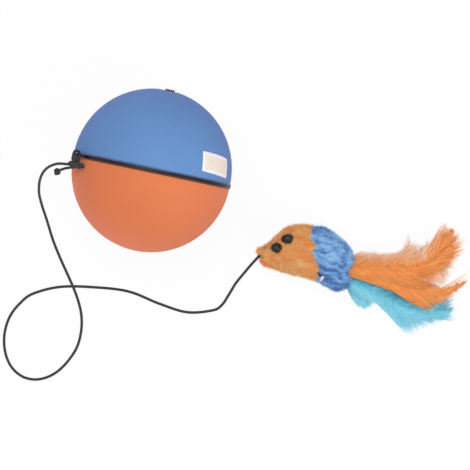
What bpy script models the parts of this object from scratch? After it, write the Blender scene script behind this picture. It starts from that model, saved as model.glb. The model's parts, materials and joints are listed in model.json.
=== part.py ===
"""Self rolling cat ball: two shell halves on a ring, a geared drive unit that
hangs inside, and a plush mouse with feathers on a cord.

Metres, +Z up. The floor is z = 0 and the origin is where the ring rests on it.
The ball's axis lies along Y, through the ball's centre, with the blue half
towards +Y. The cord is tied at the ring's left side and runs along the floor
to the mouse on the right.
"""
import math

import bmesh
import bpy
from mathutils import Matrix, Vector

for leftover in list(bpy.data.objects):
    bpy.data.objects.remove(leftover, do_unlink=True)

MM = 0.001
DEG = math.pi / 180

# Clearances shared by all pieces
SEAT_GAP = 0.3 * MM
OVERRUN = 1.0 * MM
FACE_STEP = 0.1 * MM
TINY = 0.001 * MM

# Shell halves, with the room between them and the drive unit's farthest corner
SHELL_WALL = 2.0 * MM
DRIVE_ROOM = 0.85 * MM
BALL_SIDES = 40
SHELL_RINGS = 9

# Ring between the halves, with its bayonet neck and rib
RING_WIDTH = 2.4 * MM
RING_PROUD = 0.5 * MM
RING_CHAMFER = 0.35 * MM
NECK_WALL = 1.3 * MM
NECK_HEIGHT = 6.0 * MM
RIB_HEIGHT = 3.0 * MM

# Bayonet lugs inside the blue half, and the twist that frees them
BAYONETS = 4
BAYONET_LENGTH = 4.0 * MM
BAYONET_HEIGHT = 2.0 * MM
BAYONET_DEPTH = 1.0 * MM
BAYONET_START = 1.8 * MM
BAYONET_PLAY = 0.4 * MM
TWIST = 20.0 * DEG

# Screws and their posts
SCREW_RADIUS = 0.85 * MM
SCREW_HEAD_RADIUS = 1.8 * MM
SCREW_HEAD_HEIGHT = 1.2 * MM
SCREW_LENGTH = 7.0 * MM
SCREW_SIDES = 8
POST_RADIUS = 2.3 * MM

# Tabs that hold the ring on the orange half
RING_SCREWS = 4
TAB_REACH = 2.5 * MM
TAB_THICKNESS = 2.0 * MM
TAB_HALF_WIDTH = 2.8 * MM
SHELL_POST_DEPTH = 8.5 * MM

# Eye on the ring that the cord is tied to
EYE_ANGLE = 30.0 * DEG
EYE_REACH = 2.0 * MM
EYE_HOLE_RADIUS = 1.2 * MM
EYE_BAR = 1.2 * MM
EYE_THICKNESS = 1.6 * MM

# Drive shaft, its keyed end and the socket at the orange pole
SHAFT_RADIUS = 1.5 * MM
KEY_RADIUS = 2.6 * MM
KEY_LENGTH = 5.6 * MM
KEY_SIDES = 6
SOCKET_RADIUS = 4.4 * MM
SOCKET_DEPTH = 8.2 * MM
SOCKET_FLOOR = 1.6 * MM
GUSSETS = 6
GUSSET_WIDTH = 1.2 * MM
GUSSET_REACH = 5.0 * MM

# Hollow trunnion that turns in the blue pole
TRUNNION_RADIUS = 5.4 * MM
TRUNNION_WALL = 1.5 * MM
TRUNNION_SHOULDER = 6.8 * MM
TRUNNION_RECESS = 2.2 * MM
TRUNNION_FLOOR = 1.2 * MM
COLLAR_WALL = 1.9 * MM
COLLAR_LENGTH = 5.2 * MM

# Gears, all of one module
MODULE = 0.5 * MM
PRESSURE = 20.0 * DEG
BACKLASH = 0.09 * MM
ROOT_CLEARANCE = 0.15 * MM
WHEEL_FLARE_SHARE = 0.18
PINION_FOOT_SHARE = 1.02
WHEEL_TEETH = 36
PINION_TEETH = 10
WHEEL_FACE = 2.4 * MM
LAYER_PITCH = 3.0 * MM
GEAR_GAP = 0.3 * MM
AXLE_RADIUS = 0.8 * MM
GEAR_SIDES = 12

# Motor with two flat sides
MOTOR_RADIUS = 10.0 * MM
MOTOR_HALF_FLAT = 7.5 * MM
MOTOR_CAN_LENGTH = 20.5 * MM
MOTOR_BELL_LENGTH = 4.6 * MM
MOTOR_SHAFT_RADIUS = 1.0 * MM
MOTOR_BOSS_RADIUS = 3.0 * MM
MOTOR_BOSS_LENGTH = 1.3 * MM
CAN_WALL = 1.0 * MM
MAGNET_THICKNESS = 2.2 * MM
MAGNET_LENGTH = 14.0 * MM
MAGNET_SWEEP = 86.0 * DEG
ARMATURE_LENGTH = 10.0 * MM
ARMATURE_HUB = 2.8 * MM
POLE_NECK = 1.3 * MM
POLE_SHOE = 1.6 * MM
POLE_SWEEP = 92.0 * DEG
ARMATURE_POLES = 3
COMMUTATOR_RADIUS = 2.4 * MM
COMMUTATOR_LENGTH = 3.6 * MM
MOTOR_X = -8.2 * MM
MOTOR_Z = -11.0 * MM
TERMINAL_WIDTH = 2.4 * MM
TERMINAL_THICKNESS = 0.5 * MM
TERMINAL_LENGTH = 3.2 * MM
TERMINAL_SPREAD = 6.0 * MM
WIRE_ROOM = 7.5 * MM

# Battery cell and its contacts
CELL_RADIUS = 7.25 * MM
CELL_LENGTH = 49.5 * MM
CELL_NUB_RADIUS = 2.75 * MM
CELL_NUB_LENGTH = 1.0 * MM
CELL_X = 12.2 * MM
CELL_Z = -15.4 * MM
CELL_SIDES = 20
CONTACT_THICKNESS = 0.4 * MM
CONTACT_HALF_WIDTH = 4.0 * MM
SPRING_WIRE = 0.35 * MM
SPRING_LARGE = 4.6 * MM
SPRING_SMALL = 2.0 * MM
SPRING_TURNS = 2.25
SPRING_STEPS = 10
SPRING_SPACE = 2.5 * MM

# Moulded chassis of the drive unit
CASE_WALL = 1.3 * MM
TROUGH_WALL = 1.15 * MM
GEAR_ROOM = 0.6 * MM
BULKHEAD_FRONT = -14.6 * MM
BULKHEAD_THICKNESS = 1.6 * MM
POD_WALL = 1.4 * MM
COVER_THICKNESS = 1.5 * MM
COVER_POST_OUTSET = 12.9 * MM
COVER_POST_ANGLE = 50.0 * DEG
REAR_THICKNESS = 1.6 * MM
REAR_POST_LENGTH = 9.5 * MM
CASE_SIDES = 14

# Slide switch in the trunnion
SWITCH_LENGTH = 6.2 * MM
SWITCH_WIDTH = 2.8 * MM
SWITCH_HEIGHT = 4.4 * MM
KNOB_LENGTH = 4.8 * MM
KNOB_WIDTH = 2.6 * MM
KNOB_HEIGHT = 1.9 * MM
KNOB_RIDGES = 4
KNOB_RIDGE_DEPTH = 0.35 * MM
KNOB_REST = 0.9 * MM
KNOB_TRAVEL = 1.8 * MM
STEM_LENGTH = 1.6 * MM
STEM_WIDTH = 1.2 * MM

# Cord, its knots and its route over the floor
CORD_RADIUS = 0.75 * MM
CORD_STEPS = 76
LOOP_STEPS = 18
TAIL_STEPS = 6
ROUTE_STEPS = 16
KNOT_HALF_SIZE = Vector((3.3, 2.35, 2.7)) * MM
KNOT_LIFT = 3.8 * MM
KNOT_SIDE = 5.5 * MM
TAIL_KNOT_HALF_SIZE = Vector((1.7, 1.9, 1.6)) * MM
KNOT_TURNS = 4
KNOT_GROOVE_SHARE = 0.1
# Loop through the eye: share of the way out from the hole, share of the way from the knot to the far side
LOOP_SHARES = (
    (0.0, 0.0), (0.0, 0.4), (0.0, 0.82), (0.15, 1.0), (0.5, 1.08), (0.85, 1.0), (1.0, 0.76), (1.0, 0.4),
    (0.93, 0.0),
)

# Plush mouse, lying on the floor with its nose towards the cord
MOUSE_NOSE_X = 62.4 * MM
MOUSE_NOSE_Y = -30.6 * MM
MOUSE_WIDTH = 30.8 * MM
MOUSE_HEIGHT = 25.4 * MM
HEAD_LENGTH = 31.9 * MM
BODY_LENGTH = 20.2 * MM
MOUSE_SIDES = 18
NOSE_HEIGHT_SHARE = 0.338
# Sections along a part's length: place along it, middle and half width as shares of the mouse's width,
# rise above the nose and half height as shares of its height, and lean
HEAD_SHARES = (
    (0.0, 0.0, 0.065, 0.0, 0.079, 0.0), (0.031, -0.003, 0.104, 0.008, 0.122, 0.0),
    (0.113, -0.016, 0.172, 0.02, 0.193, 0.0), (0.207, 0.006, 0.256, 0.035, 0.264, -0.03),
    (0.313, 0.071, 0.344, 0.055, 0.331, -0.07), (0.439, 0.13, 0.419, 0.079, 0.394, -0.12),
    (0.596, 0.156, 0.464, 0.102, 0.441, -0.18), (0.784, 0.172, 0.481, 0.122, 0.472, -0.26),
    (0.959, 0.175, 0.487, 0.13, 0.488, -0.34), (1.0, 0.175, 0.448, 0.126, 0.457, -0.34),
)
BODY_SHARES = (
    (0.0, 0.172, 0.442, 0.122, 0.449, -0.34), (0.059, 0.169, 0.487, 0.134, 0.492, -0.34),
    (0.238, 0.143, 0.5, 0.142, 0.5, -0.28), (0.46, 0.065, 0.49, 0.126, 0.484, -0.18),
    (0.683, 0.006, 0.448, 0.094, 0.449, -0.08), (0.856, -0.039, 0.377, 0.055, 0.378, 0.0),
    (0.96, -0.071, 0.26, 0.016, 0.268, 0.0), (1.0, -0.084, 0.136, 0.0, 0.15, 0.0),
)
# Crease along the body's top, where the fabric is folded over the filling
CREASE_PLACE_SHARE = 0.22
CREASE_WIDTH_SHARE = 0.16
CREASE_DEPTH_SHARE = 0.1
CREASE_RUN_SHARE = 0.3

# Bead eyes, placed as shares of the head's length and the mouse's width
EYEBALL_RADIUS = 2.6 * MM
EYEBALL_SINK = 0.9 * MM
EYEBALL_RINGS = 7
EYEBALL_LEAN_SHARE = -0.35
EYEBALL_SHARES = {"mouse_eye_near": (0.323, 0.136), "mouse_eye_far": (0.467, 0.328)}

# Feathers: spine places along and across as shares of the bundle's length, heights as shares of its
# height at the mouse, then half widths as shares of the greatest one
FEATHER_LENGTH = 59.6 * MM
FEATHER_HEIGHT = 10.4 * MM
FEATHER_HALF_WIDTH = 9.8 * MM
FEATHER_THICKNESS = 1.3 * MM
FEATHER_STEPS = 12
WIDTH_STEPS = 60
FEATHER_SHARES = {
    "feather_orange_upper": (
        ((0.0, 0.01, 1.0), (0.154, 0.07, 1.1), (0.322, 0.107, 1.15), (0.49, 0.158, 1.1), (0.624, 0.262, 0.85),
         (0.715, 0.403, 0.5), (0.752, 0.544, 0.16)),
        (0.122, 0.776, 0.878, 0.959, 1.0, 0.837, 0.143)),
    "feather_orange_lower": (
        ((0.0, -0.027, 0.8), (0.188, -0.01, 0.75), (0.389, -0.027, 0.6), (0.591, -0.057, 0.4),
         (0.758, -0.074, 0.24), (0.893, -0.027, 0.13), (1.0, 0.057, 0.05)),
        (0.122, 0.469, 0.673, 0.776, 0.653, 0.265, 0.051)),
    "feather_blue_long": (
        ((0.0, -0.064, 0.6), (0.171, -0.171, 0.4), (0.356, -0.252, 0.2), (0.557, -0.326, 0.08),
         (0.725, -0.329, 0.03), (0.859, -0.262, 0.01), (0.95, -0.228, 0.0)),
        (0.122, 0.51, 0.551, 0.673, 0.571, 0.327, 0.051)),
    "feather_blue_short": (
        ((0.0, -0.105, 0.38), (0.04, -0.191, 0.22), (0.094, -0.255, 0.08), (0.164, -0.312, 0.0)),
        (0.092, 0.265, 0.286, 0.051)),
}


# Places of the drive unit's pieces, worked out from the bulkhead
HALF_CENTRE = RING_WIDTH / 2
RIM = HALF_CENTRE + SEAT_GAP
BULKHEAD_BACK = BULKHEAD_FRONT + BULKHEAD_THICKNESS
LAYER_A = BULKHEAD_FRONT - GEAR_GAP
LAYER_B = LAYER_A - LAYER_PITCH
LAYER_C = LAYER_B - LAYER_PITCH
SKIRT_END = LAYER_C - LAYER_PITCH - GEAR_GAP
COVER_BACK = SKIRT_END - SEAT_GAP
COVER_FACE = COVER_BACK - COVER_THICKNESS
CENTRE_DISTANCE = MODULE * (WHEEL_TEETH + PINION_TEETH) / 2
WHEEL_TIP = MODULE * WHEEL_TEETH / 2 + MODULE
CASE_RADIUS = WHEEL_TIP + GEAR_ROOM + CASE_WALL
TROUGH_HALF = CELL_LENGTH / 2 + CELL_NUB_LENGTH + CONTACT_THICKNESS + SEAT_GAP * 3
TROUGH_RADIUS = CELL_RADIUS + SEAT_GAP + TROUGH_WALL
TROUGH_END = TROUGH_HALF + TROUGH_WALL
BELL_FRONT = BULKHEAD_BACK + MOTOR_CAN_LENGTH + 2 * SEAT_GAP
BELL_BACK = BELL_FRONT + MOTOR_BELL_LENGTH
TERMINAL_END = BELL_BACK + SEAT_GAP + TERMINAL_LENGTH
POD_END = TERMINAL_END + WIRE_ROOM
REAR_FACE = POD_END + SEAT_GAP
REAR_BACK = REAR_FACE + REAR_THICKNESS
HEAD_ROOM = SEAT_GAP + SCREW_HEAD_HEIGHT

MOTOR_AXIS = Vector((MOTOR_X, MOTOR_Z))
SHAFT_AXIS = Vector((0, 0))
CELL_AXIS = Vector((CELL_X, CELL_Z))


def meet(first, second, reach):
    """Point at one reach from two places, on the side away from the cell."""
    middle = (first + second) / 2
    along = second - first
    rise = math.sqrt(reach ** 2 - (along.length / 2) ** 2)
    return middle + Vector((along.y, -along.x)).normalized() * rise


FIRST_AXIS_ANGLE = 137.0 * DEG
FIRST_AXIS = MOTOR_AXIS + CENTRE_DISTANCE * Vector((math.cos(FIRST_AXIS_ANGLE), math.sin(FIRST_AXIS_ANGLE)))
SECOND_AXIS = meet(SHAFT_AXIS, FIRST_AXIS, CENTRE_DISTANCE)


def cover_posts():
    """Places of the cover's three screws, just outside the gears."""
    upper = meet(FIRST_AXIS, SECOND_AXIS, COVER_POST_OUTSET)
    other = meet(SECOND_AXIS, FIRST_AXIS, COVER_POST_OUTSET)
    left = upper if upper.x < other.x else other
    right = SHAFT_AXIS + COVER_POST_OUTSET * Vector((math.cos(COVER_POST_ANGLE), math.sin(COVER_POST_ANGLE)))
    down = meet(MOTOR_AXIS, FIRST_AXIS, COVER_POST_OUTSET)
    other = meet(FIRST_AXIS, MOTOR_AXIS, COVER_POST_OUTSET)
    lower = down if down.x < other.x else other
    return [left, right, lower]


def rear_posts():
    """Places of the rear plate's two screws, on the pod's left and lower sides."""
    outset = SEAT_GAP + POD_WALL + POST_RADIUS / 2
    left = Vector((-MOTOR_HALF_FLAT - outset, MOTOR_HALF_FLAT / 2))
    lower = Vector((MOTOR_HALF_FLAT / 4, -MOTOR_RADIUS - outset))
    return [MOTOR_AXIS + left, MOTOR_AXIS + lower]


def pod_corners(margin):
    """Low and high (x, z) corners of the motor's pod, a margin round the motor."""
    low = MOTOR_AXIS - Vector((MOTOR_HALF_FLAT + margin, MOTOR_RADIUS + margin))
    high = MOTOR_AXIS + Vector((MOTOR_HALF_FLAT + margin, MOTOR_RADIUS + margin))
    return low, high


def drive_reach():
    """Distance from a half's centre to the farthest corner of the turning drive unit."""
    corners = [(CELL_AXIS, TROUGH_RADIUS, TROUGH_END)]
    corners += [(centre, CASE_RADIUS, -COVER_FACE) for centre in (SHAFT_AXIS, FIRST_AXIS, SECOND_AXIS)]
    corners += [(spot, POST_RADIUS, -COVER_FACE + HEAD_ROOM) for spot in cover_posts()]
    corners += [(spot, POST_RADIUS, REAR_BACK + HEAD_ROOM) for spot in rear_posts()]
    corners += [(corner, 0.0, REAR_BACK) for corner in pod_corners(SEAT_GAP + POD_WALL)]
    return max(math.hypot(spot.length + radius, along - HALF_CENTRE) for spot, radius, along in corners)


# Sizes of the ball, which is as small as the drive unit inside it allows
BALL_SWEEP = 2 * math.pi / BALL_SIDES
INNER_RADIUS = drive_reach() + DRIVE_ROOM
HALF_RADIUS = INNER_RADIUS + SHELL_WALL
RING_RADIUS = HALF_RADIUS + RING_PROUD
BALL_HEIGHT = RING_RADIUS * math.cos(BALL_SWEEP / 2)
POLE = HALF_CENTRE + HALF_RADIUS
INNER_POLE = HALF_CENTRE + INNER_RADIUS
SOCKET_FACE = INNER_POLE - SOCKET_DEPTH
TRUNNION_TOP = POLE - TRUNNION_RECESS
COLLAR_END = INNER_POLE - COLLAR_LENGTH


def inner_radius_at(height):
    """Inner radius of a shell half at a height above the ring's middle."""
    return math.sqrt(INNER_RADIUS ** 2 - (height - HALF_CENTRE) ** 2)


def faceted(radius, sides):
    """Radius that keeps the flats of a faceted round at the wanted radius."""
    return radius / math.cos(math.pi / sides)


NECK_TOP = HALF_CENTRE + NECK_HEIGHT
NECK_OUTER = inner_radius_at(NECK_TOP) - SEAT_GAP - SEAT_GAP / 2
NECK_INNER = NECK_OUTER - NECK_WALL
RIB_OUTER = inner_radius_at(HALF_CENTRE + RIB_HEIGHT) - SEAT_GAP - SEAT_GAP / 2
TAB_RADIUS = NECK_INNER - TAB_REACH
LUG_BOTTOM = HALF_CENTRE + BAYONET_START
LUG_TOP = LUG_BOTTOM + BAYONET_HEIGHT
LUG_HALF_SWEEP = BAYONET_LENGTH / 2 / INNER_RADIUS
PLAY_SWEEP = BAYONET_PLAY / INNER_RADIUS


# Materials
def finish(name, colour, roughness, metallic=0.0):
    """Principled material with one colour."""
    made = bpy.data.materials.new(name)
    made.use_nodes = True
    shader = made.node_tree.nodes["Principled BSDF"]
    shader.inputs["Base Color"].default_value = (*colour, 1.0)
    shader.inputs["Roughness"].default_value = roughness
    shader.inputs["Metallic"].default_value = metallic
    made.diffuse_color = (*colour, 1.0)
    return made


# Mesh makers
def turned_mesh(profile, sides, closed=False):
    """Mesh turned about Y from (radius, along) points, with a flat at the bottom.

    A closed profile goes round on itself; an open one starts and ends on the
    axis.
    """
    bm = bmesh.new()
    loops = []
    for radius, along in profile:
        if radius < TINY:
            loops.append([bm.verts.new((0, along, 0))] * sides)
            continue
        angles = [(step + 0.5) * 2 * math.pi / sides for step in range(sides)]
        loops.append([bm.verts.new((radius * math.sin(a), along, -radius * math.cos(a))) for a in angles])
    pairs = list(zip(loops, loops[1:]))
    if closed:
        pairs.append((loops[-1], loops[0]))
    for lower, upper in pairs:
        for step in range(sides):
            ahead = (step + 1) % sides
            corners = [lower[step], lower[ahead], upper[ahead], upper[step]]
            distinct = list(dict.fromkeys(corners))
            if len(distinct) > 2:
                bm.faces.new(distinct)
    return bm


def prism_mesh(outline, start, end):
    """Outline of (x, z) points pushed along Y."""
    bm = bmesh.new()
    near = [bm.verts.new((x, start, z)) for x, z in outline]
    far = [bm.verts.new((x, end, z)) for x, z in outline]
    bm.faces.new(near)
    bm.faces.new(list(reversed(far)))
    for step in range(len(outline)):
        ahead = (step + 1) % len(outline)
        bm.faces.new((near[step], far[step], far[ahead], near[ahead]))
    return bm


def slab_mesh(outline, width):
    """Outline of (x, y) points given a width along Z, half each way."""
    bm = bmesh.new()
    sides = [[bm.verts.new((x, y, z)) for x, y in outline] for z in (-width / 2, width / 2)]
    bm.faces.new(sides[0])
    bm.faces.new(list(reversed(sides[1])))
    for step in range(len(outline)):
        ahead = (step + 1) % len(outline)
        bm.faces.new((sides[0][step], sides[0][ahead], sides[1][ahead], sides[1][step]))
    return bm


def box_mesh(low, high):
    """Box between two corners."""
    outline = [(low[0], low[2]), (high[0], low[2]), (high[0], high[2]), (low[0], high[2])]
    return prism_mesh(outline, low[1], high[1])


def arc_mesh(inner, outer, start, end, first, last, steps):
    """Block of a turned ring between two angles, measured about +Y from +X towards -Z."""
    angles = [first + (last - first) * step / steps for step in range(steps + 1)]
    outline = [(outer * math.cos(a), -outer * math.sin(a)) for a in angles]
    outline += [(inner * math.cos(a), -inner * math.sin(a)) for a in reversed(angles)]
    return prism_mesh(outline, start, end)


def loft_mesh(sections):
    """Closed mesh through sections of equal point count, capped at both ends."""
    bm = bmesh.new()
    loops = [[bm.verts.new(point) for point in section] for section in sections]
    count = len(loops[0])
    for lower, upper in zip(loops, loops[1:]):
        for step in range(count):
            ahead = (step + 1) % count
            bm.faces.new((lower[step], lower[ahead], upper[ahead], upper[step]))
    bm.faces.new(list(reversed(loops[0])))
    bm.faces.new(loops[-1])
    return bm


def circle(centre, radius, sides, turn=0.0):
    """(x, z) points on a circle."""
    points = []
    for step in range(sides):
        angle = turn + 2 * math.pi * step / sides
        points.append((centre[0] + radius * math.cos(angle), centre[1] + radius * math.sin(angle)))
    return points


def hull(points):
    """Convex outline round (x, z) points."""
    def chain(ordered):
        kept = []
        for point in ordered:
            while len(kept) > 1:
                ax, az = kept[-1][0] - kept[-2][0], kept[-1][1] - kept[-2][1]
                bx, bz = point[0] - kept[-1][0], point[1] - kept[-1][1]
                if ax * bz - az * bx > 0:
                    break
                kept.pop()
            kept.append(point)
        return kept[:-1]

    ordered = sorted(set(points))
    return chain(ordered) + chain(ordered[::-1])


def smooth_route(points, steps):
    """Evenly spaced points on a Catmull-Rom curve through the route."""
    ends = [points[0] * 2 - points[1], *points, points[-1] * 2 - points[-2]]
    fine = []
    for index in range(1, len(ends) - 2):
        before, near, far, after = ends[index - 1:index + 3]
        for part in range(ROUTE_STEPS):
            t = part / ROUTE_STEPS
            fine.append(0.5 * (2 * near + (far - before) * t
                               + (2 * before - 5 * near + 4 * far - after) * t ** 2
                               + (3 * near - before - 3 * far + after) * t ** 3))
    fine.append(points[-1])
    reach = [0.0]
    for near, far in zip(fine, fine[1:]):
        reach.append(reach[-1] + (far - near).length)
    even = []
    index = 0
    for step in range(steps):
        wanted = reach[-1] * step / (steps - 1)
        while index < len(fine) - 2 and reach[index + 1] < wanted:
            index += 1
        share = (wanted - reach[index]) / (reach[index + 1] - reach[index])
        even.append(fine[index].lerp(fine[index + 1], share))
    return even, reach[-1]


# Object makers
def piece(name, bm, skin, sharp=30.0 * DEG):
    """Object from a mesh, closed, facing out and smooth where it is round."""
    bmesh.ops.recalc_face_normals(bm, faces=bm.faces)
    mesh = bpy.data.meshes.new(name)
    bm.to_mesh(mesh)
    bm.free()
    mesh.shade_smooth()
    mesh.set_sharp_from_angle(angle=sharp)
    made = bpy.data.objects.new(name, mesh)
    if skin is not None:
        mesh.materials.append(skin)
    bpy.context.scene.collection.objects.link(made)
    return made


def combine(target, bm, operation):
    """Join a mesh to a piece, or cut it out of the piece."""
    tool = piece(target.name + "_tool", bm, None)
    step = target.modifiers.new("shape", "BOOLEAN")
    step.operation = operation
    step.object = tool
    graph = bpy.context.evaluated_depsgraph_get()
    shaped = bpy.data.meshes.new_from_object(target.evaluated_get(graph))
    target.modifiers.clear()
    before = target.data
    target.data = shaped
    bpy.data.meshes.remove(before)
    bpy.data.objects.remove(tool, do_unlink=True)
    shaped.name = target.name


def join(target, bm):
    combine(target, bm, "UNION")


def cut(target, bm):
    combine(target, bm, "DIFFERENCE")


def turn_y(bm, angle):
    """Turn a mesh about the Y axis."""
    bmesh.ops.transform(bm, matrix=Matrix.Rotation(angle, 4, "Y"), verts=bm.verts)
    return bm


def shift(bm, x=0.0, y=0.0, z=0.0):
    """Move a mesh."""
    bmesh.ops.translate(bm, vec=(x, y, z), verts=bm.verts)
    return bm


def place(made, parent, x=0.0, y=0.0, z=0.0):
    """Hang a piece on an axis or a carrier."""
    made.parent = parent
    made.location = (x, y, z)
    return made


def axis(name, parent, x=0.0, y=0.0, z=0.0):
    """Empty on a joint's axis."""
    made = bpy.data.objects.new(name, None)
    made.empty_display_size = SHAFT_RADIUS
    bpy.context.scene.collection.objects.link(made)
    return place(made, parent, x, y, z)


def rod(centre, radius, start, end, sides, turn=0.0):
    """Round bar along Y, for a pin, a post or a bore."""
    return prism_mesh(circle(centre, radius, sides, turn), start, end)


def tube(name, points, radius, skin, resolution=2):
    """Cord or wire through points, as a curve with round section and caps."""
    curve = bpy.data.curves.new(name, "CURVE")
    curve.dimensions = "3D"
    curve.bevel_depth = radius
    curve.bevel_resolution = resolution
    curve.use_fill_caps = True
    line = curve.splines.new("POLY")
    line.points.add(len(points) - 1)
    for spot, point in zip(line.points, points):
        spot.co = (*point, 1.0)
    curve.materials.append(skin)
    made = bpy.data.objects.new(name, curve)
    bpy.context.scene.collection.objects.link(made)
    return made


# Shell halves
def shell_profile(pole_points):
    """Profile of a half from the pole's inside, over the rim, to its outside."""
    lowest = math.asin((RIM - HALF_CENTRE) / INNER_RADIUS)
    inside_top, outside_top, ends = pole_points
    inside = []
    for step in range(SHELL_RINGS + 1):
        angle = inside_top + (lowest - inside_top) * step / SHELL_RINGS
        inside.append((INNER_RADIUS * math.cos(angle), HALF_CENTRE + INNER_RADIUS * math.sin(angle)))
    lowest = math.asin((RIM - HALF_CENTRE) / HALF_RADIUS)
    outside = []
    for step in range(SHELL_RINGS + 1):
        angle = lowest + (outside_top - lowest) * step / SHELL_RINGS
        outside.append((HALF_RADIUS * math.cos(angle), HALF_CENTRE + HALF_RADIUS * math.sin(angle)))
    return ends[0] + inside + outside + ends[1]


def orange_shell(skin):
    """Orange half: closed pole with the keyed socket inside, four screw posts."""
    edge = math.acos(SOCKET_RADIUS / INNER_RADIUS)
    start = [(0, SOCKET_FACE), (SOCKET_RADIUS, SOCKET_FACE)]
    profile = shell_profile((edge, math.pi / 2, (start, [])))
    profile[-1] = (0, POLE)
    profile = [(radius, -along) for radius, along in profile]
    made = piece("orange_shell", turned_mesh(profile, BALL_SIDES), skin)
    outer = inner_radius_at(RIM + SHELL_POST_DEPTH) + SHELL_WALL / 2
    top = -(HALF_CENTRE + RIB_HEIGHT + SEAT_GAP)
    bottom = top - SHELL_POST_DEPTH
    for index in range(RING_SCREWS):
        angle = (index + 0.5) * 2 * math.pi / RING_SCREWS
        post = box_mesh((TAB_RADIUS, bottom, -POST_RADIUS), (outer, top, POST_RADIUS))
        join(made, turn_y(post, angle))
        join(made, turn_y(rod((TAB_RADIUS, 0), POST_RADIUS, bottom, top, CASE_SIDES), angle))
        cut(made, turn_y(rod((TAB_RADIUS, 0), SCREW_RADIUS + SEAT_GAP, bottom + SHELL_WALL / 2,
                             top + OVERRUN, SCREW_SIDES), angle))
    for index in range(GUSSETS):
        reach = SOCKET_RADIUS + GUSSET_REACH
        foot = -(HALF_CENTRE + math.sqrt(INNER_RADIUS ** 2 - reach ** 2) + SHELL_WALL / 2)
        corners = [(SOCKET_RADIUS / 2, foot), (reach, foot), (SOCKET_RADIUS / 2, -SOCKET_FACE - SHELL_WALL)]
        join(made, turn_y(slab_mesh(corners, GUSSET_WIDTH), index * 2 * math.pi / GUSSETS))
    socket = rod((0, 0), faceted(KEY_RADIUS * math.cos(math.pi / KEY_SIDES) + SEAT_GAP, KEY_SIDES),
                 -INNER_POLE + SOCKET_FLOOR, -SOCKET_FACE + OVERRUN, KEY_SIDES)
    cut(made, socket)
    return made


def blue_shell(skin):
    """Blue half: open pole with a bearing collar inside, four bayonet lugs."""
    bore = faceted(TRUNNION_RADIUS + SEAT_GAP, CELL_SIDES)
    collar = bore + COLLAR_WALL
    inside_top = math.acos(collar / INNER_RADIUS)
    outside_top = math.acos(bore / HALF_RADIUS)
    start = [(bore, COLLAR_END), (collar, COLLAR_END)]
    profile = shell_profile((inside_top, outside_top, (start, [])))
    made = piece("blue_shell", turned_mesh(profile, BALL_SIDES, closed=True), skin)
    inner = NECK_OUTER - BAYONET_DEPTH
    outer = inner_radius_at(LUG_TOP) + SHELL_WALL / 2
    for index in range(BAYONETS):
        middle = index * 2 * math.pi / BAYONETS
        lug = arc_mesh(inner, outer, LUG_BOTTOM, LUG_TOP,
                       middle - LUG_HALF_SWEEP, middle + LUG_HALF_SWEEP, 2)
        join(made, lug)
    return made


def middle_ring(skin):
    """Ring with neck, rib, bayonet slots, screw tabs and the cord's eye."""
    half = RING_WIDTH / 2
    face = RING_RADIUS - RING_CHAMFER
    profile = [
        (NECK_INNER, -half - RIB_HEIGHT), (RIB_OUTER, -half - RIB_HEIGHT), (RIB_OUTER, -half),
        (face, -half), (RING_RADIUS, -half + RING_CHAMFER), (RING_RADIUS, half - RING_CHAMFER),
        (face, half), (NECK_OUTER, half), (NECK_OUTER, NECK_TOP), (NECK_INNER, NECK_TOP),
    ]
    made = piece("middle_ring", turned_mesh(profile, BALL_SIDES, closed=True), skin)
    inner = NECK_INNER - OVERRUN
    outer = NECK_OUTER + OVERRUN / 2
    room = LUG_HALF_SWEEP + PLAY_SWEEP
    for index in range(BAYONETS):
        middle = index * 2 * math.pi / BAYONETS
        slot = arc_mesh(inner, outer, LUG_BOTTOM - BAYONET_PLAY, LUG_TOP + BAYONET_PLAY,
                        middle - room, middle + TWIST + room, 5)
        cut(made, slot)
        entry = arc_mesh(inner, outer, LUG_TOP - BAYONET_PLAY, NECK_TOP + OVERRUN,
                         middle + TWIST - room, middle + TWIST + room, 2)
        cut(made, entry)
    low = -half - RIB_HEIGHT
    for index in range(RING_SCREWS):
        angle = (index + 0.5) * 2 * math.pi / RING_SCREWS
        tab = box_mesh((TAB_RADIUS, low, -TAB_HALF_WIDTH),
                       (NECK_INNER + NECK_WALL / 2, low + TAB_THICKNESS, TAB_HALF_WIDTH))
        join(made, turn_y(tab, angle))
        join(made, turn_y(rod((TAB_RADIUS, 0), TAB_HALF_WIDTH, low, low + TAB_THICKNESS, CASE_SIDES), angle))
        cut(made, turn_y(rod((TAB_RADIUS, 0), SCREW_RADIUS + SEAT_GAP, low - OVERRUN,
                             low + TAB_THICKNESS + OVERRUN, SCREW_SIDES), angle))
    eye_outer = EYE_HOLE_RADIUS + EYE_BAR
    eye_radius = RING_RADIUS + EYE_REACH
    outline = hull(circle((-eye_radius, 0), eye_outer, CASE_SIDES)
                   + [(-NECK_OUTER - NECK_WALL, -eye_outer), (-NECK_OUTER - NECK_WALL, eye_outer)])
    ear = prism_mesh(outline, -EYE_THICKNESS / 2, EYE_THICKNESS / 2)
    join(made, turn_y(ear, EYE_ANGLE))
    cut(made, turn_y(rod((-eye_radius, 0), EYE_HOLE_RADIUS, -RING_WIDTH, RING_WIDTH, GEAR_SIDES), EYE_ANGLE))
    return made


# Screws
def screw(name, skin):
    """Pan-head screw along Y, its head towards +Y and its seat at y = 0."""
    dome = SCREW_HEAD_RADIUS * 0.7
    profile = [
        (0, -SCREW_LENGTH), (SCREW_RADIUS * 0.4, -SCREW_LENGTH), (SCREW_RADIUS, -SCREW_LENGTH + SCREW_RADIUS),
        (SCREW_RADIUS, 0), (SCREW_HEAD_RADIUS, 0), (SCREW_HEAD_RADIUS, SCREW_HEAD_HEIGHT / 2),
        (dome, SCREW_HEAD_HEIGHT), (0, SCREW_HEAD_HEIGHT),
    ]
    return piece(name, turned_mesh(profile, SCREW_SIDES), skin)


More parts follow.
